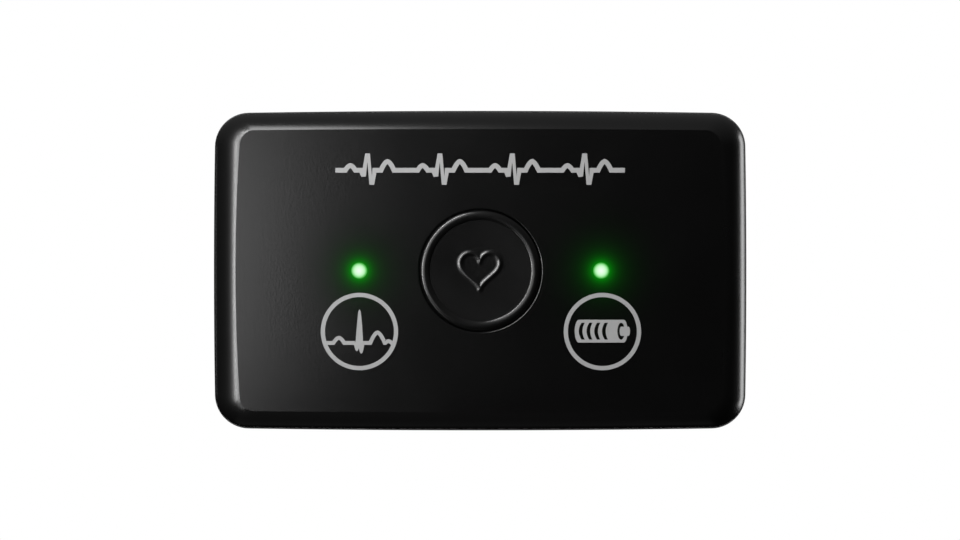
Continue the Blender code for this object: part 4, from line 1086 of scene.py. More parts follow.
@dataclass
class BackShell:
    """The back half: the tray with its groove, its holes for screws, sockets and contacts, and its posts."""

    groove: float = 3.75 * MM
    floor_inset: float = 2.0 * MM
    floor_knee: float = 1.6 * MM
    shoulder_rise: float = 3.0 * MM
    shoulder_turn: float = math.radians(82)
    head_radius: float = 2.1 * MM
    head_seat: float = 1.6 * MM
    shank_radius: float = 1.15 * MM
    screw_post_radius: float = 2.7 * MM
    snap_radius: float = 3.65 * MM
    contact_radius: float = 0.95 * MM
    hole_edge: float = 0.12 * MM
    post_radius: float = 1.5 * MM
    post_top: float = 5.95 * MM
    cradle: Point = (17.9 * MM, 11.7 * MM)
    cradle_half: Point = (0.5 * MM, 3.0 * MM)
    cradle_top: float = 3.1 * MM
    spacing: float = 4.0 * MM

    def wall(self, skin: Skin) -> tuple[Loop, Loop]:
        """Adds the walls, the rim with its groove and the shoulder.

        Args:
            skin: The skin that takes them.

        Returns:
            The loop round the floor inside and the loop round the skin face.
        """
        chamber, top, outer = CASE.chamber, CASE.back_depth, CASE.outer_lip
        inner = outer + CASE.groove_width
        inside_rings = knee(chamber, chamber.inset(self.floor_inset), CASE.floor, self.floor_knee)
        inside_rings += [chamber.ring(top), *CASE.rim((inner, top), (inner, self.groove))]
        inside_rings += CASE.rim((outer, self.groove), (outer, top), (CASE.edge_break, top))
        side, rise = CASE.silhouette.inset(CASE.side_draft), self.shoulder_rise
        outside_rings = [CASE.silhouette.ring(top - CASE.edge_break)]
        outside_rings += shoulder(side, CASE.skin_face, rise, -rise, self.shoulder_turn)
        return skin.wall(inside_rings, outside_rings)

    def build(self) -> Piece:
        """Makes the whole back half with its real openings.

        Returns:
            The back half.
        """
        skin = Skin()
        floor_loop, skin_loop = self.wall(skin)
        seat, top, floor = self.head_seat, CASE.back_depth, CASE.floor
        head, shank, post = self.head_radius, self.shank_radius, self.screw_post_radius
        counterbore = ((head, seat), (shank, seat), (shank, top), (post, top), (post, floor))
        ends = [(at, head, counterbore, MIDDLE_ROUND) for at in quarters(CASE.screw)]
        for radius, steps, places in (
            (self.snap_radius, MIDDLE_ROUND, CASE.snaps),
            (self.contact_radius, SMALL_ROUND, CASE.contacts),
        ):
            ends += [(at, radius, ((radius, floor),), steps) for at in places]
        holes = [Hole(at, radius, self.hole_edge, inner, steps) for at, radius, inner, steps in ends]
        lows, tops = skin.openings(holes, lambda x, y: 0.0, -1)
        skin.sheet(skin_loop, lows, lambda x, y: 0.0, self.spacing, Zone.FACE)
        skin.sheet(floor_loop, tops, lambda x, y: floor, INNER_SPACING, Zone.INSIDE)
        for at in quarters(CASE.post):
            skin.post(at, self.post_radius, floor - BITE, self.post_top)
        for side in (-1, 1):
            middle = (self.cradle[0] * side, self.cradle[1])
            skin.block(middle, self.cradle_half, floor - BITE, self.cradle_top)
        finishes = (POLISHED, BACK_ABS, INNER_ABS)
        return skin.piece("back_shell", finishes, "back_plastic", nodes=("back_cover",))


# The button and the lights


@dataclass
class EventCap:
    """The round cap that the wearer presses: a bead for a rim, a shallow dish and a raised heart outline."""

    radius: float = 7.9 * MM
    stem: Point = (1.7 * MM, 9.85 * MM)
    underside: float = 10.25 * MM
    flange_radius: float = 8.8 * MM
    flange_top: float = 11.05 * MM
    bead_width: float = 1.3 * MM
    crest: float = 12.95 * MM
    edge: float = 12.45 * MM
    bead_foot: float = 12.7 * MM
    dish: float = 12.6 * MM
    heart_width: float = 2.6 * MM
    heart_drop: float = 0.35 * MM
    ridge_half: float = 0.45 * MM
    ridge_height: float = 0.16 * MM
    ring_step: float = 0.13 * MM
    heart_steps: int = 160
    bead_steps: int = 18

    def heart(self) -> np.ndarray:
        """Draws the outline of a plain heart.

        Returns:
            The points round it.
        """
        turns = np.linspace(0, math.tau, self.heart_steps, endpoint=False)
        across = 16 * np.sin(turns) ** 3
        up = 13 * np.cos(turns) - 5 * np.cos(2 * turns) - 2 * np.cos(3 * turns) - np.cos(4 * turns)
        scale = self.heart_width / 16
        return np.stack((across * scale, up * scale + self.heart_drop), axis=1)

    def surface(self, x: float, y: float, outline: np.ndarray) -> float:
        """Finds the height of the dish at a place, with the heart's ridge on it.

        Args:
            x: How far right the place lies.
            y: How far up it lies.
            outline: The points round the heart.

        Returns:
            The height.
        """
        inner = self.radius - self.bead_width
        share = min(math.hypot(x, y) / inner, 1)
        away = float(np.hypot(*(outline - (x, y)).T).min())
        ridge = self.ridge_height * math.cos(min(away / self.ridge_half, 1) * math.pi / 2) ** 2
        return self.dish + (self.bead_foot - self.dish) * share**2 + ridge

    def build(self) -> Piece:
        """Makes the cap from its stem outwards, over the bead and into the dish.

        Returns:
            The cap.
        """
        skin = Skin()
        middle = self.radius - self.bead_width / 2
        profile = [self.stem, (self.stem[0], self.underside), (self.flange_radius, self.underside)]
        profile += [(self.flange_radius, self.flange_top), (self.radius, self.flange_top)]
        for step in range(self.bead_steps + 1):
            angle = math.pi * step / self.bead_steps
            foot = self.edge if angle < math.pi / 2 else self.bead_foot
            rise = (self.crest - foot) * math.sin(angle)
            profile.append((middle + self.bead_width / 2 * math.cos(angle), foot + rise))
        rows = skin.loft(level_circle((0, 0), radius, height, LARGE_ROUND) for radius, height in profile)
        skin.fan(rows[0], self.stem[1])
        outline = self.heart()
        inner = self.radius - self.bead_width
        count = math.ceil(inner / self.ring_step)
        field_rings = []
        for ring in range(count - 1, 0, -1):
            places = circle((0, 0), inner * ring / count, LARGE_ROUND)
            field_rings.append([(*at, self.surface(*at, outline)) for at in places])
        dish_rows = skin.loft(field_rings)
        skin.bridge(rows[-1], dish_rows[0])
        skin.fan(dish_rows[-1], self.surface(0, 0, outline))
        return skin.piece("event_cap", [CAP_ABS], "button_plastic", body=Body.BUTTON, nodes=("event_button",))


@dataclass
class PressStack:
    """The two pieces under the cap that give way as it goes down: the rubber membrane and the snap dome."""

    nub: Point = (1.6 * MM, 0.9 * MM)
    nub_foot: float = 8.9 * MM
    sheet: Point = (9.15 * MM, 9.55 * MM)
    fold: float = 0.8 * MM
    fold_steps: int = 6
    collar: Point = (9.1 * MM, 10.3 * MM)
    bead: Point = (9.0 * MM, 9.7 * MM)
    rubber_keeps: float = 0.6
    dome: Point = (2.1 * MM, 0.45 * MM)
    dome_foot: float = 7.3 * MM
    dome_sheet: float = 0.1 * MM
    dome_steps: int = 8
    steel_keeps: float = 0.2

    def membrane(self) -> Piece:
        """Makes the membrane: a nub in the middle, a fold round it and a bead that is clamped.

        Returns:
            The membrane.
        """
        radius, height = self.nub
        low, high = self.sheet
        inner, outer = self.collar
        middle = (radius + inner) / 2
        under, over = [], []
        for step in range(self.fold_steps + 1):
            angle = math.pi * step / self.fold_steps
            drop = self.fold * math.sin(angle)
            under.append((middle - (self.fold + high - low) * math.cos(angle), low - drop))
            over.append((middle + self.fold * math.cos(angle), high - drop))
        foot, top = self.nub_foot, self.nub_foot + height
        clamped, freed = self.bead
        start = [(0, foot), (radius, foot), (radius, low)]
        rim = [(inner, low), (inner, clamped), (outer, clamped), (outer, freed), (inner, freed)]
        end = [(inner, high), *over, (radius, high), (radius, top), (0, top)]
        skin = turned([*start, *under, *rim, *end])
        traits = {"nodes": ("button_seal",), "foot": foot, "keeps": self.rubber_keeps}
        return skin.piece("press_membrane", [DARK_RUBBER], "black_silicone", **traits)

    def snap_dome(self) -> Piece:
        """Makes the sprung steel dome that clicks.

        Returns:
            The dome.
        """
        shares = [step / self.dome_steps for step in range(self.dome_steps + 1)]
        radius, rise = self.dome
        sides = []
        for wide, high in ((radius - self.dome_sheet, rise - self.dome_sheet), self.dome):
            sides.append([(wide * share, self.dome_foot + high * (1 - share**2)) for share in shares])
        skin = turned([*sides[0], *reversed(sides[1])])
        traits = {"nodes": ("switch_dome",), "foot": self.dome_foot, "keeps": self.steel_keeps}
        return skin.piece("snap_dome", [SPRING_STEEL], "spring_steel", **traits)


@dataclass
class Lights:
    """The two clear pipes that lead the light of the diodes to the face."""

    body_radius: float = 1.3 * MM
    foot: float = 7.75 * MM
    flange_radius: float = 1.7 * MM
    flange: Point = (10.55 * MM, 11.15 * MM)
    tip_radius: float = 1.0 * MM
    dome: float = 0.08 * MM
    dome_steps: int = 6
    names: tuple[str, ...] = ("light_pipe_ecg", "light_pipe_battery")

    def finish(self) -> LitPipe:
        """The lit plastic, told where the pipes stand."""
        return LitPipe("lit clear polycarbonate", "#0A160A", 0.3, lights=LIGHT_PLACES, ior=1.585, sheen=0.12)

    def build(self) -> list[Piece]:
        """Makes both pipes.

        Returns:
            The pipes.
        """
        tip = CASE.face_height(CASE.light, 0)
        low, high = self.flange
        profile = [(0, self.foot), (self.body_radius, self.foot), (self.body_radius, low)]
        profile += [(self.flange_radius, low), (self.flange_radius, high), (self.tip_radius, high)]
        profile.append((self.tip_radius, tip - self.dome))
        for step in range(1, self.dome_steps + 1):
            share = 1 - step / self.dome_steps
            profile.append((self.tip_radius * share, tip - self.dome * share**2))
        made = []
        for name, side in zip(self.names, (-1, 1), strict=True):
            skin = Skin()
            skin.turn(profile, (CASE.light * side, 0))
            made.append(skin.piece(name + "_lit", [self.finish()], "lit_pipe", nodes=(name,)))
        return made


# What follows a path or repeats


class Recipe(Nodes):
    """A Geometry Nodes tree with named inputs, which ends in plain mesh with its finish on it."""

    def __init__(self, name: str, inputs: Mapping[str, str]) -> None:
        """Starts the tree.

        Args:
            name: The tree's name.
            inputs: The kind of each named input.
        """
        super().__init__(bpy.data.node_groups.new(name, "GeometryNodeTree"))
        sockets = self.tree.interface
        for label, kind in {"Geometry": "Geometry", **inputs, "Finish": "Material"}.items():
            sockets.new_socket(label, in_out="INPUT", socket_type=f"NodeSocket{kind}")
        sockets.new_socket("Geometry", in_out="OUTPUT", socket_type="NodeSocketGeometry")
        self.given = add_node(self.tree, "NodeGroupInput").outputs

    def end(self, made: Socket) -> "Recipe":
        """Turns copies into real faces, gives them their finish and ends the tree.

        Args:
            made: What the tree has made.

        Returns:
            The recipe itself.
        """
        real = self.step("GeometryNodeRealizeInstances", {"Geometry": made})
        finished = self.step("GeometryNodeSetMaterial", {"Geometry": real, "Material": self.given["Finish"]})
        add_node(self.tree, "NodeGroupOutput", {"Geometry": finished})
        return self

    def grow(self, name: str, seed: bpy.types.Mesh, finish: Finish, **values: object) -> bpy.types.Object:
        """Runs the tree on a mesh and keeps the result as a plain mesh.

        Args:
            name: The new piece's name.
            seed: The mesh that the tree starts from.
            finish: The finish that the tree sets.
            values: The named inputs' values.

        Returns:
            The new piece.
        """
        host = new_object(name, seed)
        worker = host.modifiers.new(name, "NODES")
        worker.node_group = self.tree
        values["Finish"] = finish.material()
        for item in self.tree.interface.items_tree:
            if item.in_out == "INPUT" and item.name in values:
                worker[item.identifier] = values[item.name]
        graph = bpy.context.evaluated_depsgraph_get()
        graph.update()
        made = bpy.data.meshes.new_from_object(host.evaluated_get(graph))
        host.modifiers.remove(worker)
        host.data = made
        bpy.data.meshes.remove(seed)
        made.name = name
        return host

    def fit(
        self,
        name: str,
        node: str,
        seed: bpy.types.Mesh,
        finish: Finish,
        places: list[Place],
        **values: object,
    ) -> tuple[bpy.types.Object, tuple[str, ...]]:
        """Runs the tree with bare points that tell it where its copies go.

        Args:
            name: The new piece's name.
            node: What the copies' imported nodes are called, before their numbers.
            seed: The mesh that the tree starts from.
            finish: The finish that the tree sets.
            places: Where the copies go.
            values: The other named inputs' values.

        Returns:
            The new piece and the names of the nodes that it stands for.
        """
        points = bpy.data.meshes.new("places")
        points.from_pydata(places, [], [])
        spots = new_object("places", points)
        made = self.grow(name, seed, finish, Places=spots, **values)
        bpy.data.objects.remove(spots)
        return made, tuple(f"{node}_{number}" for number in range(1, len(places) + 1))


def screen_print() -> Recipe:
    """Writes the recipe for a print: flat shapes are filled, laid on the shell and given a film's thickness.

    Returns:
        The recipe.
    """
    recipe = Recipe("screen print", {"Surface": "Object", "Film": "Float", "Sink": "Float", "Lap": "Float"})
    given, step = recipe.given, recipe.step
    outlines = step("GeometryNodeMeshToCurve", {"Mesh": given["Geometry"]})
    island = step("GeometryNodeInputNamedAttribute", {"Name": "group"}, "Attribute", data_type="INT")
    flat = step("GeometryNodeFillCurve", {"Curve": outlines, "Group ID": island}, mode="TRIANGLES")
    start = {0: step("GeometryNodeInputPosition"), 1: (0, 0, RAY_START)}
    above = step("ShaderNodeVectorMath", start, operation="ADD")
    shell = step("GeometryNodeObjectInfo", {"Object": given["Surface"]}, "Geometry")
    ray = {"Source Position": above, "Ray Direction": (0, 0, -1), "Ray Length": RAY_LENGTH}
    landing = step("GeometryNodeRaycast", {"Target Geometry": shell, **ray}, "Hit Position")
    number = step("GeometryNodeInputMeshIsland", output="Island Index")
    lapped = step("ShaderNodeMath", {0: number, 1: given["Lap"]}, operation="MULTIPLY")
    raised = step("ShaderNodeMath", {0: lapped, 1: given["Sink"]}, operation="SUBTRACT")
    offset = step("ShaderNodeCombineXYZ", {"Z": raised})
    base = step("GeometryNodeSetPosition", {"Geometry": flat, "Position": landing, "Offset": offset})
    thick = step("ShaderNodeMath", {0: given["Film"], 1: given["Sink"]}, operation="ADD")
    lift = {"Mesh": base, "Offset": (0, 0, 1), "Offset Scale": thick, "Individual": False}
    film = step("GeometryNodeExtrudeMesh", lift, "Mesh")
    underside = step("GeometryNodeFlipFaces", {"Mesh": base})
    both = step("GeometryNodeJoinGeometry")
    for part in (film, underside):
        recipe.tree.links.new(part, both.node.inputs[0])
    return recipe.end(step("GeometryNodeMergeByDistance", {"Geometry": both, "Distance": SEAM}))


def fitted_copies() -> Recipe:
    """Writes the recipe for bought-in parts: one at each place, turned as it happened to be fitted.

    Returns:
        The recipe.
    """
    recipe = Recipe("fitted copies", {"Places": "Object", "Turn": "Float", "Seed": "Int"})
    given, step = recipe.given, recipe.step
    place = {0: step("GeometryNodeInputPosition"), 1: (1, 1, 0)}
    flat = {0: step("ShaderNodeVectorMath", place, operation="MULTIPLY")}
    away = step("ShaderNodeVectorMath", flat, "Value", operation="LENGTH")
    kept = {"Geometry": given["Geometry"], "Name": AXIS_DISTANCE, "Value": away}
    ringed = step("GeometryNodeStoreNamedAttribute", kept, data_type="FLOAT", domain="POINT")
    places = step("GeometryNodeObjectInfo", {"Object": given["Places"]}, "Geometry")
    # The random node's inputs 2 and 3 and its output 1 are the ones for plain numbers
    turns = {2: 0.0, 3: given["Turn"], "Seed": given["Seed"]}
    turn = step("FunctionNodeRandomValue", turns, 1, data_type="FLOAT")
    copies = {"Points": places, "Instance": ringed, "Rotation": step("ShaderNodeCombineXYZ", {"Z": turn})}
    return recipe.end(step("GeometryNodeInstanceOnPoints", copies))


def sprung_rings() -> Recipe:
    """Writes the recipe for the split rings: an open arc of round wire at each place.

    Returns:
        The recipe.
    """
    recipe = Recipe("sprung rings", {"Places": "Object", "Ring": "Float", "Wire": "Float", "Sweep": "Float"})
    given, step = recipe.given, recipe.step
    gap = step("ShaderNodeMath", {0: math.tau, 1: given["Sweep"]}, operation="SUBTRACT")
    start = step("ShaderNodeMath", {0: gap, 1: 2.0}, operation="DIVIDE")
    bend = {"Radius": given["Ring"], "Start Angle": start, "Sweep Angle": given["Sweep"]}
    arc = step("GeometryNodeCurveArc", {"Resolution": ARC_POINTS, **bend}, mode="RADIUS")
    round_wire = {"Resolution": WIRE_ROUND, "Radius": given["Wire"]}
    section = step("GeometryNodeCurvePrimitiveCircle", round_wire, mode="RADIUS")
    wire = step("GeometryNodeCurveToMesh", {"Curve": arc, "Profile Curve": section, "Fill Caps": True})
    smooth = step("GeometryNodeSetShadeSmooth", {"Geometry": wire})
    places = step("GeometryNodeObjectInfo", {"Object": given["Places"]}, "Geometry")
    return recipe.end(step("GeometryNodeInstanceOnPoints", {"Points": places, "Instance": smooth}))


@dataclass
class Print:
    """One printed sign: groups of closed outlines, each group filled by itself and lapped over the last."""

    name: str
    groups: list[list[list[Point]]]
    film: float = 0.02 * MM
    sink: float = 0.02 * MM
    lap: float = 0.003 * MM

    def build(self, recipe: Recipe, shell: bpy.types.Object) -> Piece:
        """Prints the sign on the shell.

        Args:
            recipe: The screen print tree.
            shell: The shell that carries the print.

        Returns:
            The print.
        """
        places, edges, groups = [], [], []
        for number, group in enumerate(self.groups):
            for outline in group:
                first = len(places)
                places += [(x, y, 0.0) for x, y in outline]
                groups += [number] * len(outline)
                edges += [(first + at, first + (at + 1) % len(outline)) for at in range(len(outline))]
        seed = bpy.data.meshes.new(self.name)
        seed.from_pydata(places, edges, [])
        seed.attributes.new("group", "INT", "POINT").data.foreach_set("value", groups)
        sizes = {"Surface": shell, "Film": self.film, "Sink": self.sink, "Lap": self.lap}
        return Piece(recipe.grow(self.name, seed, INK, **sizes), "front_plastic")


def stroke(path: Sequence[Point], width: float) -> list[Point]:
    """Draws the outline of a line of even width, with its sharp turns cut off square.

    Args:
        path: The line's points.
        width: How wide it is.

    Returns:
        The points round it.
    """
    half = width / 2
    ways = [Vector(b) - Vector(a) for a, b in zip(path, path[1:], strict=False)]
    normals = [Vector((-way.y, way.x)).normalized() for way in ways]
    left, right = [], []
    for at, place in enumerate(path):
        before, after = normals[max(at - 1, 0)], normals[min(at, len(normals) - 1)]
        middle = (before + after).normalized()
        mitre = half / max(middle.dot(after), LEAST_MITRE)
        turn = before.x * after.y - before.y * after.x
        if middle.dot(after) > SQUARE_FROM:
            left.append(Vector(place) + middle * mitre)
            right.append(Vector(place) - middle * mitre)
            continue
        outer, inner = (right, left) if turn > 0 else (left, right)
        side = -1 if turn > 0 else 1
        outer += [Vector(place) + before * half * side, Vector(place) + after * half * side]
        inner.append(Vector(place) - middle * mitre * side)
    return [tuple(place) for place in left + right[::-1]]


def moved(points: Iterable[Point], centre: Point) -> list[Point]:
    """Points given in millimetres from a centre, as places in metres."""
    return [(centre[0] + x * MM, centre[1] + y * MM) for x, y in points]


def hump(start: float, end: float, foot: float, rise: float, steps: int = 14) -> list[Point]:
    """A wave, in millimetres, that leaves its foot at a slant and has a round top."""
    shares = (step / steps for step in range(steps + 1))
    return [(start + (end - start) * t, foot + rise * (1 - abs(2 * t - 1) ** WAVE_POWER)) for t in shares]


def bulge(
    middle: float, height: float, half_width: float, half_height: float, start: int, end: int
) -> list[Point]:
    """Draws part of an ellipse, in millimetres.

    Args:
        middle: Where its middle lies across.
        height: Where its middle lies up.
        half_width: Half its width.
        half_height: Half its height.
        start: The angle that it starts at, in degrees.
        end: The angle that it ends at.

    Returns:
        The points along it.
    """
    count = max(abs(end - start) // BULGE_DEGREES, LEAST_PARTS)
    turns = (math.radians(start + (end - start) * step / count) for step in range(count + 1))
    return [(middle + half_width * math.cos(a), height + half_height * math.sin(a)) for a in turns]


@dataclass
class FacePrints:
    """The prints on the face: a ringed heart trace, a ringed battery and a long rhythm line."""

    ecg_centre: Point = (-15.76 * MM, -7.955 * MM)
    battery_centre: Point = (15.96 * MM, -7.955 * MM)
    ring_radii: Point = (4.5, 5.05)
    line: float = 0.5
    rhythm_centre: Point = (0.0, 13.1 * MM)
    rhythm_half: float = 18.9
    rhythm_line: float = 0.62
    beat: float = 9.45
    ring_steps: int = 128

    def ring(self, centre: Point) -> list[list[Point]]:
        """A ring's two outlines."""
        return [circle(centre, radius * MM, self.ring_steps) for radius in self.ring_radii]

    def heart_trace(self) -> Print:
        """Draws one heartbeat as a recorder draws it, in a ring.

        Returns:
            The sign.
        """
        calm = -1.486
        before = [(-4.75, calm), *hump(-3.4, -1.98, calm, 0.68), (-0.6, calm)]
        after = [(0.5, calm), *hump(1.42, 3.3, calm, 1.36), *hump(3.38, 4.2, calm, 0.24, 8), (4.75, calm)]
        spike = [(-0.5, -1.22), (-0.33, 0.8), (-0.2, 2.2), (-0.13, 2.65), (0.01, 2.9), (0.14, 2.65)]
        spike += [(0.22, 2.2), (0.35, 0.8), (0.47, -1.22), (0.62, -1.75), (0.5, -2.4), (0.42, -2.7)]
        spike += [(0.234, -2.9), (0.06, -2.7), (-0.09, -2.16), (-0.19, -2.45), (-0.354, -2.58)]
        spike += [(-0.52, -2.4), (-0.66, -1.95), (-0.72, -1.75)]
        lines = [stroke(before, self.line), spike, stroke(after, self.line)]
        groups = [self.ring(self.ecg_centre), *([moved(shape, self.ecg_centre)] for shape in lines)]
        return Print("ecg_sign", groups)

    def battery_sign(self) -> Print:
        """Draws a lying battery with four bars, in a ring.

        Returns:
            The sign.
        """
        height, half = 0.05, 1.49
        shapes = [
            bulge(-3.08, height, 0.53, half, 270, 90) + bulge(2.76, height, 0.52, half, 90, -90),
            bulge(2.44, height, 0.48, 1.11, 0, 351),
        ]
        for bar in range(4):
            left, right = -3.08 + 1.01 * bar, -2.6 + 1.01 * bar
            rises = [1 - 2 * step / 12 for step in range(13)]
            down = [(left + 0.354 * rise**2, height + 1.1 * rise) for rise in rises]
            up = [(right + 0.3 * rise**2, height + 1.1 * rise) for rise in reversed(rises)]
            shapes.append(down + up)
        nub = bulge(2.46, 0.035, 0.2, 0.6, 270, 90) + bulge(3.4, 0.035, 0.2, 0.6, 90, -90)
        groups = [self.ring(self.battery_centre), [moved(shape, self.battery_centre) for shape in shapes]]
        return Print("battery_sign", [*groups, [moved(nub, self.battery_centre)]])

    def rhythm(self) -> Print:
        """Draws a long line with four even heartbeats.

        Returns:
            The sign.
        """
        path = [(-self.rhythm_half, 0.0)]
        for number in range(4):
            start = -self.rhythm_half + self.beat * number
            spike = [(3.35, 0.0), (3.68, -0.75), (4.2, 2.15), (4.75, -1.85), (5.1, 0.0)]
            wave = [*hump(1.3, 2.6, 0.0, 0.62), *spike, *hump(5.95, 7.65, 0.0, 1.15)]
            path += [(start + x, y) for x, y in wave]
        path.append((self.rhythm_half, 0.0))
        return Print("rhythm_line", [[moved(stroke(path, self.rhythm_line), self.rhythm_centre)]])

    def build(self, shell: bpy.types.Object) -> list[Piece]:
        """Prints all three on the shell."""
        recipe, signs = screen_print(), (self.heart_trace(), self.battery_sign(), self.rhythm())
        return [sign.build(recipe, shell) for sign in signs]


# Bought-in parts


@dataclass
class CaseScrews:
    """The four pan-head screws with a hexagon socket."""

    recess: float = 0.25 * MM
    head_radius: float = 1.9 * MM
    head_height: float = 1.3 * MM
    head_edge: float = 0.3 * MM
    shank_radius: float = 1.0 * MM
    length: float = 7.4 * MM
    point: float = 0.4 * MM
    key_radius: float = 1.0 * MM
    key_depth: float = 0.7 * MM
    key_edge: float = 0.08 * MM
    key_dish: float = 0.15 * MM
    thread_pitch: float = 0.8 * MM
    thread_depth: float = 0.12 * MM
    steps: int = 48
    edge_steps: int = 6
    chance: int = 7

    def key_ring(self, height: float, spread: float = 0.0) -> list[Place]:
        """Draws the hexagon that the key fits.

        Args:
            height: The height that it lies at.
            spread: How much wider it is there.

        Returns:
            The points round it.
        """
        points = []
        for step in range(self.steps):
            turn = math.tau * step / self.steps
            flat = self.key_radius * math.cos(math.pi / 6)
            radius = flat / math.cos(turn % (math.pi / 3) - math.pi / 6) + spread
            points.append((radius * math.cos(turn), radius * math.sin(turn), height))
        return points

    def threads(self, start: float, end: float) -> list[Point]:
        """Draws the threads' profile.

        Args:
            start: The height where they begin.
            end: The height where they end.

        Returns:
            Points of radius and height.
        """
        count = int((end - start) / self.thread_pitch)
        span = (end - start) / count
        root, crest = self.shank_radius - self.thread_depth, self.shank_radius
        waves = ((root, 0.25), (root, 0.55), (crest, 0.8), (crest, 0.95))
        return [(radius, start + span * (turn + share)) for turn in range(count) for radius, share in waves]

    def seed(self) -> bpy.types.Mesh:
        """Makes one screw at the origin, its head down and its threads up.

        Returns:
            The screw.
        """
        skin = Skin()
        floor, top = self.recess + self.key_depth, self.recess + self.head_height
        tip = top + self.length - self.point
        rounds = rounding(self.head_radius, self.recess, self.head_edge, self.edge_steps)
        rounds += [(self.head_radius, top), (self.shank_radius, top), *self.threads(top, tip)]
        rounds.append((self.shank_radius - self.point, tip + self.point))
        rings = [self.key_ring(floor), self.key_ring(self.recess + self.key_edge)]
        rings.append(self.key_ring(self.recess, self.key_edge))
        rings += [level_circle((0, 0), radius, height, self.steps) for radius, height in rounds]
        rows = skin.loft(rings)
        skin.fan(rows[0], floor + self.key_dish)
        skin.fan(rows[-1], tip + self.point)
        return skin.mesh("case_screw")

    def build(self, recipe: Recipe) -> Piece:
        """Puts the four screws in their holes.

        Args:
            recipe: The tree that copies a part.

        Returns:
            The screws.
        """
        places = [(x, y, 0.0) for x, y in quarters(CASE.screw)]
        turns = {"Turn": math.tau, "Seed": self.chance}
        screws, nodes = recipe.fit("case_screws", "case_screw", self.seed(), SCREW_STEEL, places, **turns)
        return Piece(screws, "screw_steel", nodes=nodes)


@dataclass
class ElectrodeSockets:
    """The three press-stud sockets and the split ring spring in each."""

    recess: float = 0.15 * MM
    height: float = 2.6 * MM
    cap: float = 0.4 * MM
    lip: float = 0.35 * MM
    bore: float = 2.05 * MM
    groove: float = 2.53 * MM
    mouth: float = 0.15 * MM
    radius: float = 3.6 * MM
    flange: float = 4.4 * MM
    flange_foot: float = 1.55 * MM
    flange_height: float = 0.6 * MM
    wire: float = 0.18 * MM
    play: float = 0.1 * MM
    sweep: float = math.radians(300)
    steps: int = 96
    chance: int = 3

    def seed(self) -> bpy.types.Mesh:
        """Makes one socket at the origin, its mouth down.

        Returns:
            The socket.
        """
        top = self.recess + self.height
        groove_low = self.recess + self.lip
        groove_top = groove_low + 2 * (self.wire + self.play)
        mouth = reversed(rounding(self.bore, self.recess, self.mouth, EDGE_STEPS, -1))
        edge = rounding(self.radius, self.recess, self.mouth, EDGE_STEPS)
        profile = [(0, top - self.cap), (self.bore, top - self.cap), (self.bore, groove_top)]
        profile += [(self.groove, groove_top), (self.groove, groove_low), (self.bore, groove_low)]
        profile += [*mouth, *edge, (self.radius, self.flange_foot), (self.flange, self.flange_foot)]
        flange_top = self.flange_foot + self.flange_height
        profile += [(self.flange, flange_top), (self.radius, flange_top), (self.radius, top), (0, top)]
        return turned(profile, self.steps).mesh("snap_socket")

    def build(self, recipe: Recipe) -> list[Piece]:
        """Puts the sockets in the back half and the rings in the sockets.

        Args:
            recipe: The tree that copies a part.

        Returns:
            The sockets and the rings.
        """
        places = [(x, y, 0.0) for x, y in CASE.snaps]
        turns = {"Turn": math.tau, "Seed": self.chance}
        sockets, nodes = recipe.fit("snap_sockets", "snap_socket", self.seed(), NICKEL, places, **turns)
        made = [Piece(sockets, "socket_nickel", nodes=nodes)]
        height = self.recess + self.lip + self.play + self.wire
        places = [(x, y, height) for x, y in CASE.snaps]
        sizes = {"Ring": self.bore, "Wire": self.wire, "Sweep": self.sweep}
        start = bpy.data.meshes.new("ring")
        rings, nodes = sprung_rings().fit("snap_rings", "snap_spring", start, SPRING_STEEL, places, **sizes)
        return [*made, Piece(rings, "spring_steel", nodes=nodes)]


@dataclass
class ChargeContacts:
    """The four gold pins that the cradle touches."""

    recess: float = 0.1 * MM
    radius: float = 0.9 * MM
    crown: float = 0.12 * MM
    flange: float = 1.25 * MM
    flange_foot: float = 1.55 * MM
    flange_height: float = 0.45 * MM
    stem: float = 0.5 * MM
    top: float = 5.95 * MM
    steps: int = 48
    chance: int = 5

    def seed(self) -> bpy.types.Mesh:
        """Makes one pin at the origin, its pad down.

        Returns:
            The pin.
        """
        profile = [(0, self.recess), *rounding(self.radius, self.recess, self.crown, EDGE_STEPS)]
        foot, top = self.flange_foot, self.flange_foot + self.flange_height
        profile += [(self.radius, foot), (self.flange, foot), (self.flange, top)]
        profile += [(self.stem, top), (self.stem, self.top), (0, self.top)]
        return turned(profile, self.steps).mesh("charge_contact")

    def build(self, recipe: Recipe) -> Piece:
        """Puts the pins in their row.

        Args:
            recipe: The tree that copies a part.

        Returns:
            The pins.
        """
        places = [(x, y, 0.0) for x, y in CASE.contacts]
        turns = {"Turn": math.tau, "Seed": self.chance}
        pins, nodes = recipe.fit("charge_contacts", "charge_contact", self.seed(), GOLD, places, **turns)
        return Piece(pins, "contact_gold", nodes=nodes)


class Electronics:
    """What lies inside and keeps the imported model's shapes: it only gets its finishes."""

    def dress(self) -> None:
        """Gives every node its finish."""
        for finish, names in INSIDE_FINISHES.items():
            for name in names:
                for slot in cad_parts[name].material_slots:
                    slot.material = finish.material()
                LOG.info("%s is dressed as %s", name, finish.name)


# The studio


@dataclass(frozen=True)
class SoftBox:
    """A rectangular studio light, as bright all over as its radiance says."""

    name: str
    place: Place
    size: Point
    radiance: float
    turn: float = 0.0

    def build(self) -> None:
        """Hangs the light, faces it towards the recorder and turns it about its own axis, in degrees."""
        data = bpy.data.lights.new(self.name, "AREA")
        data.shape = "RECTANGLE"
        data.size, data.size_y = self.size
        data.energy = self.radiance * math.pi * self.size[0] * self.size[1]
        lamp = new_object(self.name, data)
        lamp.location = self.place
        facing = (-lamp.location).to_track_quat("-Z", "Y")
        lamp.rotation_euler = (facing @ Quaternion((0, 0, 1), math.radians(self.turn))).to_euler()
        lamp.visible_camera = False


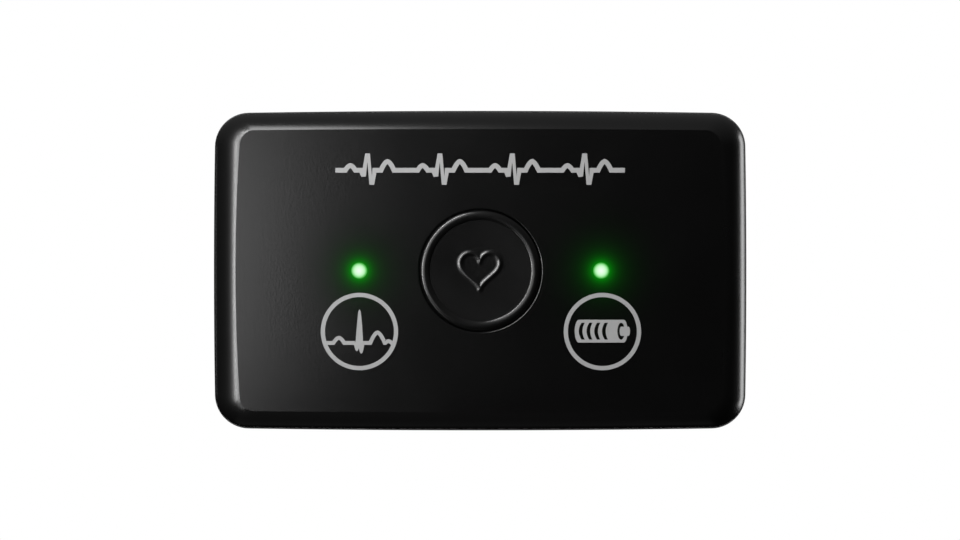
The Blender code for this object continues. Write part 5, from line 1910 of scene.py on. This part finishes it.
@dataclass
class Studio:
    """The camera, the soft boxes, the pale surroundings and the floor."""

    camera_place: Place = (-0.0197 * MM, -1.057, 0.079 * MM)
    lens: float = 300.0
    sensor: float = 36.0
    floor_size: float = 3.0
    floor_height: float = -21.1 * MM
    # How bright the room is at the level of the recorder and below, and at its ceiling
    room: Point = (0.003, 0.199)
    boxes: tuple[SoftBox, ...] = (
        SoftBox("left strip", (-0.331, -0.316, 0.0), (0.02, 0.23), 52.6),
        SoftBox("upper left strip", (-0.261, -0.316, 0.204), (0.02, 0.208), 40.0, -28.4),
        SoftBox("corner strip", (-0.0569, -0.1034, 0.1027), (0.0078, 0.0563), 42.0, -57.7),
        SoftBox("lower left strip", (-0.268, -0.316, -0.195), (0.02, 0.173), 9.0, 26.6),
        SoftBox("top strip", (-0.0299, -0.0521, 0.0742), (0.0223, 0.0315), 8.2, 71.1),
        SoftBox("rim box", (0.3016, 0.157, -0.002), (0.114, 0.246), 5.0),
        SoftBox("far rim box", (0.2446, 0.2362, -0.002), (0.0835, 0.246), 1.9),
        SoftBox("face box", (-0.0915, -0.1496, 0.0434), (0.142, 0.176), 2.45),
        SoftBox("left rim box", (-0.5, 0.7, 0.0), (0.05, 0.1), 0.8),
        SoftBox("low box", (-0.068, 0.0084, -0.28), (0.5, 0.229), 0.045),
        SoftBox("back box", (0.0, 0.9, 0.0), (0.24, 0.24), 0.8),
    )

    def camera(self) -> None:
        """Puts the camera straight in front, as far off as the photograph was taken."""
        data = bpy.data.cameras.new("camera")
        data.lens, data.sensor_width = self.lens, self.sensor
        data.clip_start, data.clip_end = 0.01, 100.0
        thing = new_object("camera", data)
        thing.location = self.camera_place
        thing.rotation_euler = (math.radians(90), 0.0, 0.0)
        bpy.context.scene.camera = thing

    def surroundings(self) -> None:
        """A white backdrop for the camera, and a dim room with a paler ceiling for everything else."""
        world = bpy.data.worlds.new("studio")
        world.use_nodes = True
        nodes = Nodes(world.node_tree)
        nodes.tree.nodes.clear()
        way = nodes.step("ShaderNodeTexCoord", output="Generated")
        up = nodes.step("ShaderNodeSeparateXYZ", {"Vector": way}, "Z")
        shades = {"Value": up, "To Min": self.room[0], "To Max": self.room[1]}
        bright = nodes.step("ShaderNodeMapRange", shades, "Result")
        room = nodes.step("ShaderNodeBackground", {"Color": bright, "Strength": 1.0})
        white = nodes.step("ShaderNodeBackground", {"Color": linear("#FFFFFF"), "Strength": 1.0})
        seen = nodes.step("ShaderNodeLightPath", output="Is Camera Ray")
        both = nodes.step("ShaderNodeMixShader", {0: seen, 1: room, 2: white})
        add_node(nodes.tree, "ShaderNodeOutputWorld", {"Surface": both})
        bpy.context.scene.world = world
        bpy.context.scene.view_settings.view_transform = "Standard"

    def floor(self) -> None:
        """A plain white floor just under the recorder, which neither shades it nor shows in it."""
        half, low = self.floor_size / 2, self.floor_height
        mesh = bpy.data.meshes.new("floor")
        corners = [(-half, -half, low), (half, -half, low), (half, half, low), (-half, half, low)]
        mesh.from_pydata(corners, [], [(0, 1, 2, 3)])
        paint = bpy.data.materials.new("white studio floor")
        paint.use_nodes = True
        shine = {"Base Color": linear("#000000"), "Specular IOR Level": 0.0}
        shine |= {"Emission Color": linear("#FFFFFF"), "Emission Strength": 1.0}
        fill(paint.node_tree.nodes["Principled BSDF"], shine)
        mesh.materials.append(paint)
        thing = new_object("floor", mesh)
        thing.visible_diffuse = thing.visible_glossy = thing.visible_transmission = False
        thing.visible_shadow = False

    def build(self) -> None:
        """Sets up the whole studio."""
        self.camera()
        self.surroundings()
        self.floor()
        for box in self.boxes:
            box.build()


def main() -> None:
    """Builds the recorder's visible pieces in order, dresses what is kept, and lights it."""
    logging.basicConfig(level=logging.INFO, format="%(name)s: %(message)s")
    Studio().build()
    front = FrontShell().build()
    stack = PressStack()
    pieces = [front, BackShell().build(), EventCap().build(), *Lights().build()]
    pieces += [stack.membrane(), stack.snap_dome(), *FacePrints().build(front.thing)]
    copies = fitted_copies()
    pieces += [CaseScrews().build(copies), *ElectrodeSockets().build(copies)]
    pieces.append(ChargeContacts().build(copies))
    for piece in pieces:
        piece.settle()
    Electronics().dress()


if __name__ == "__main__":
    main()
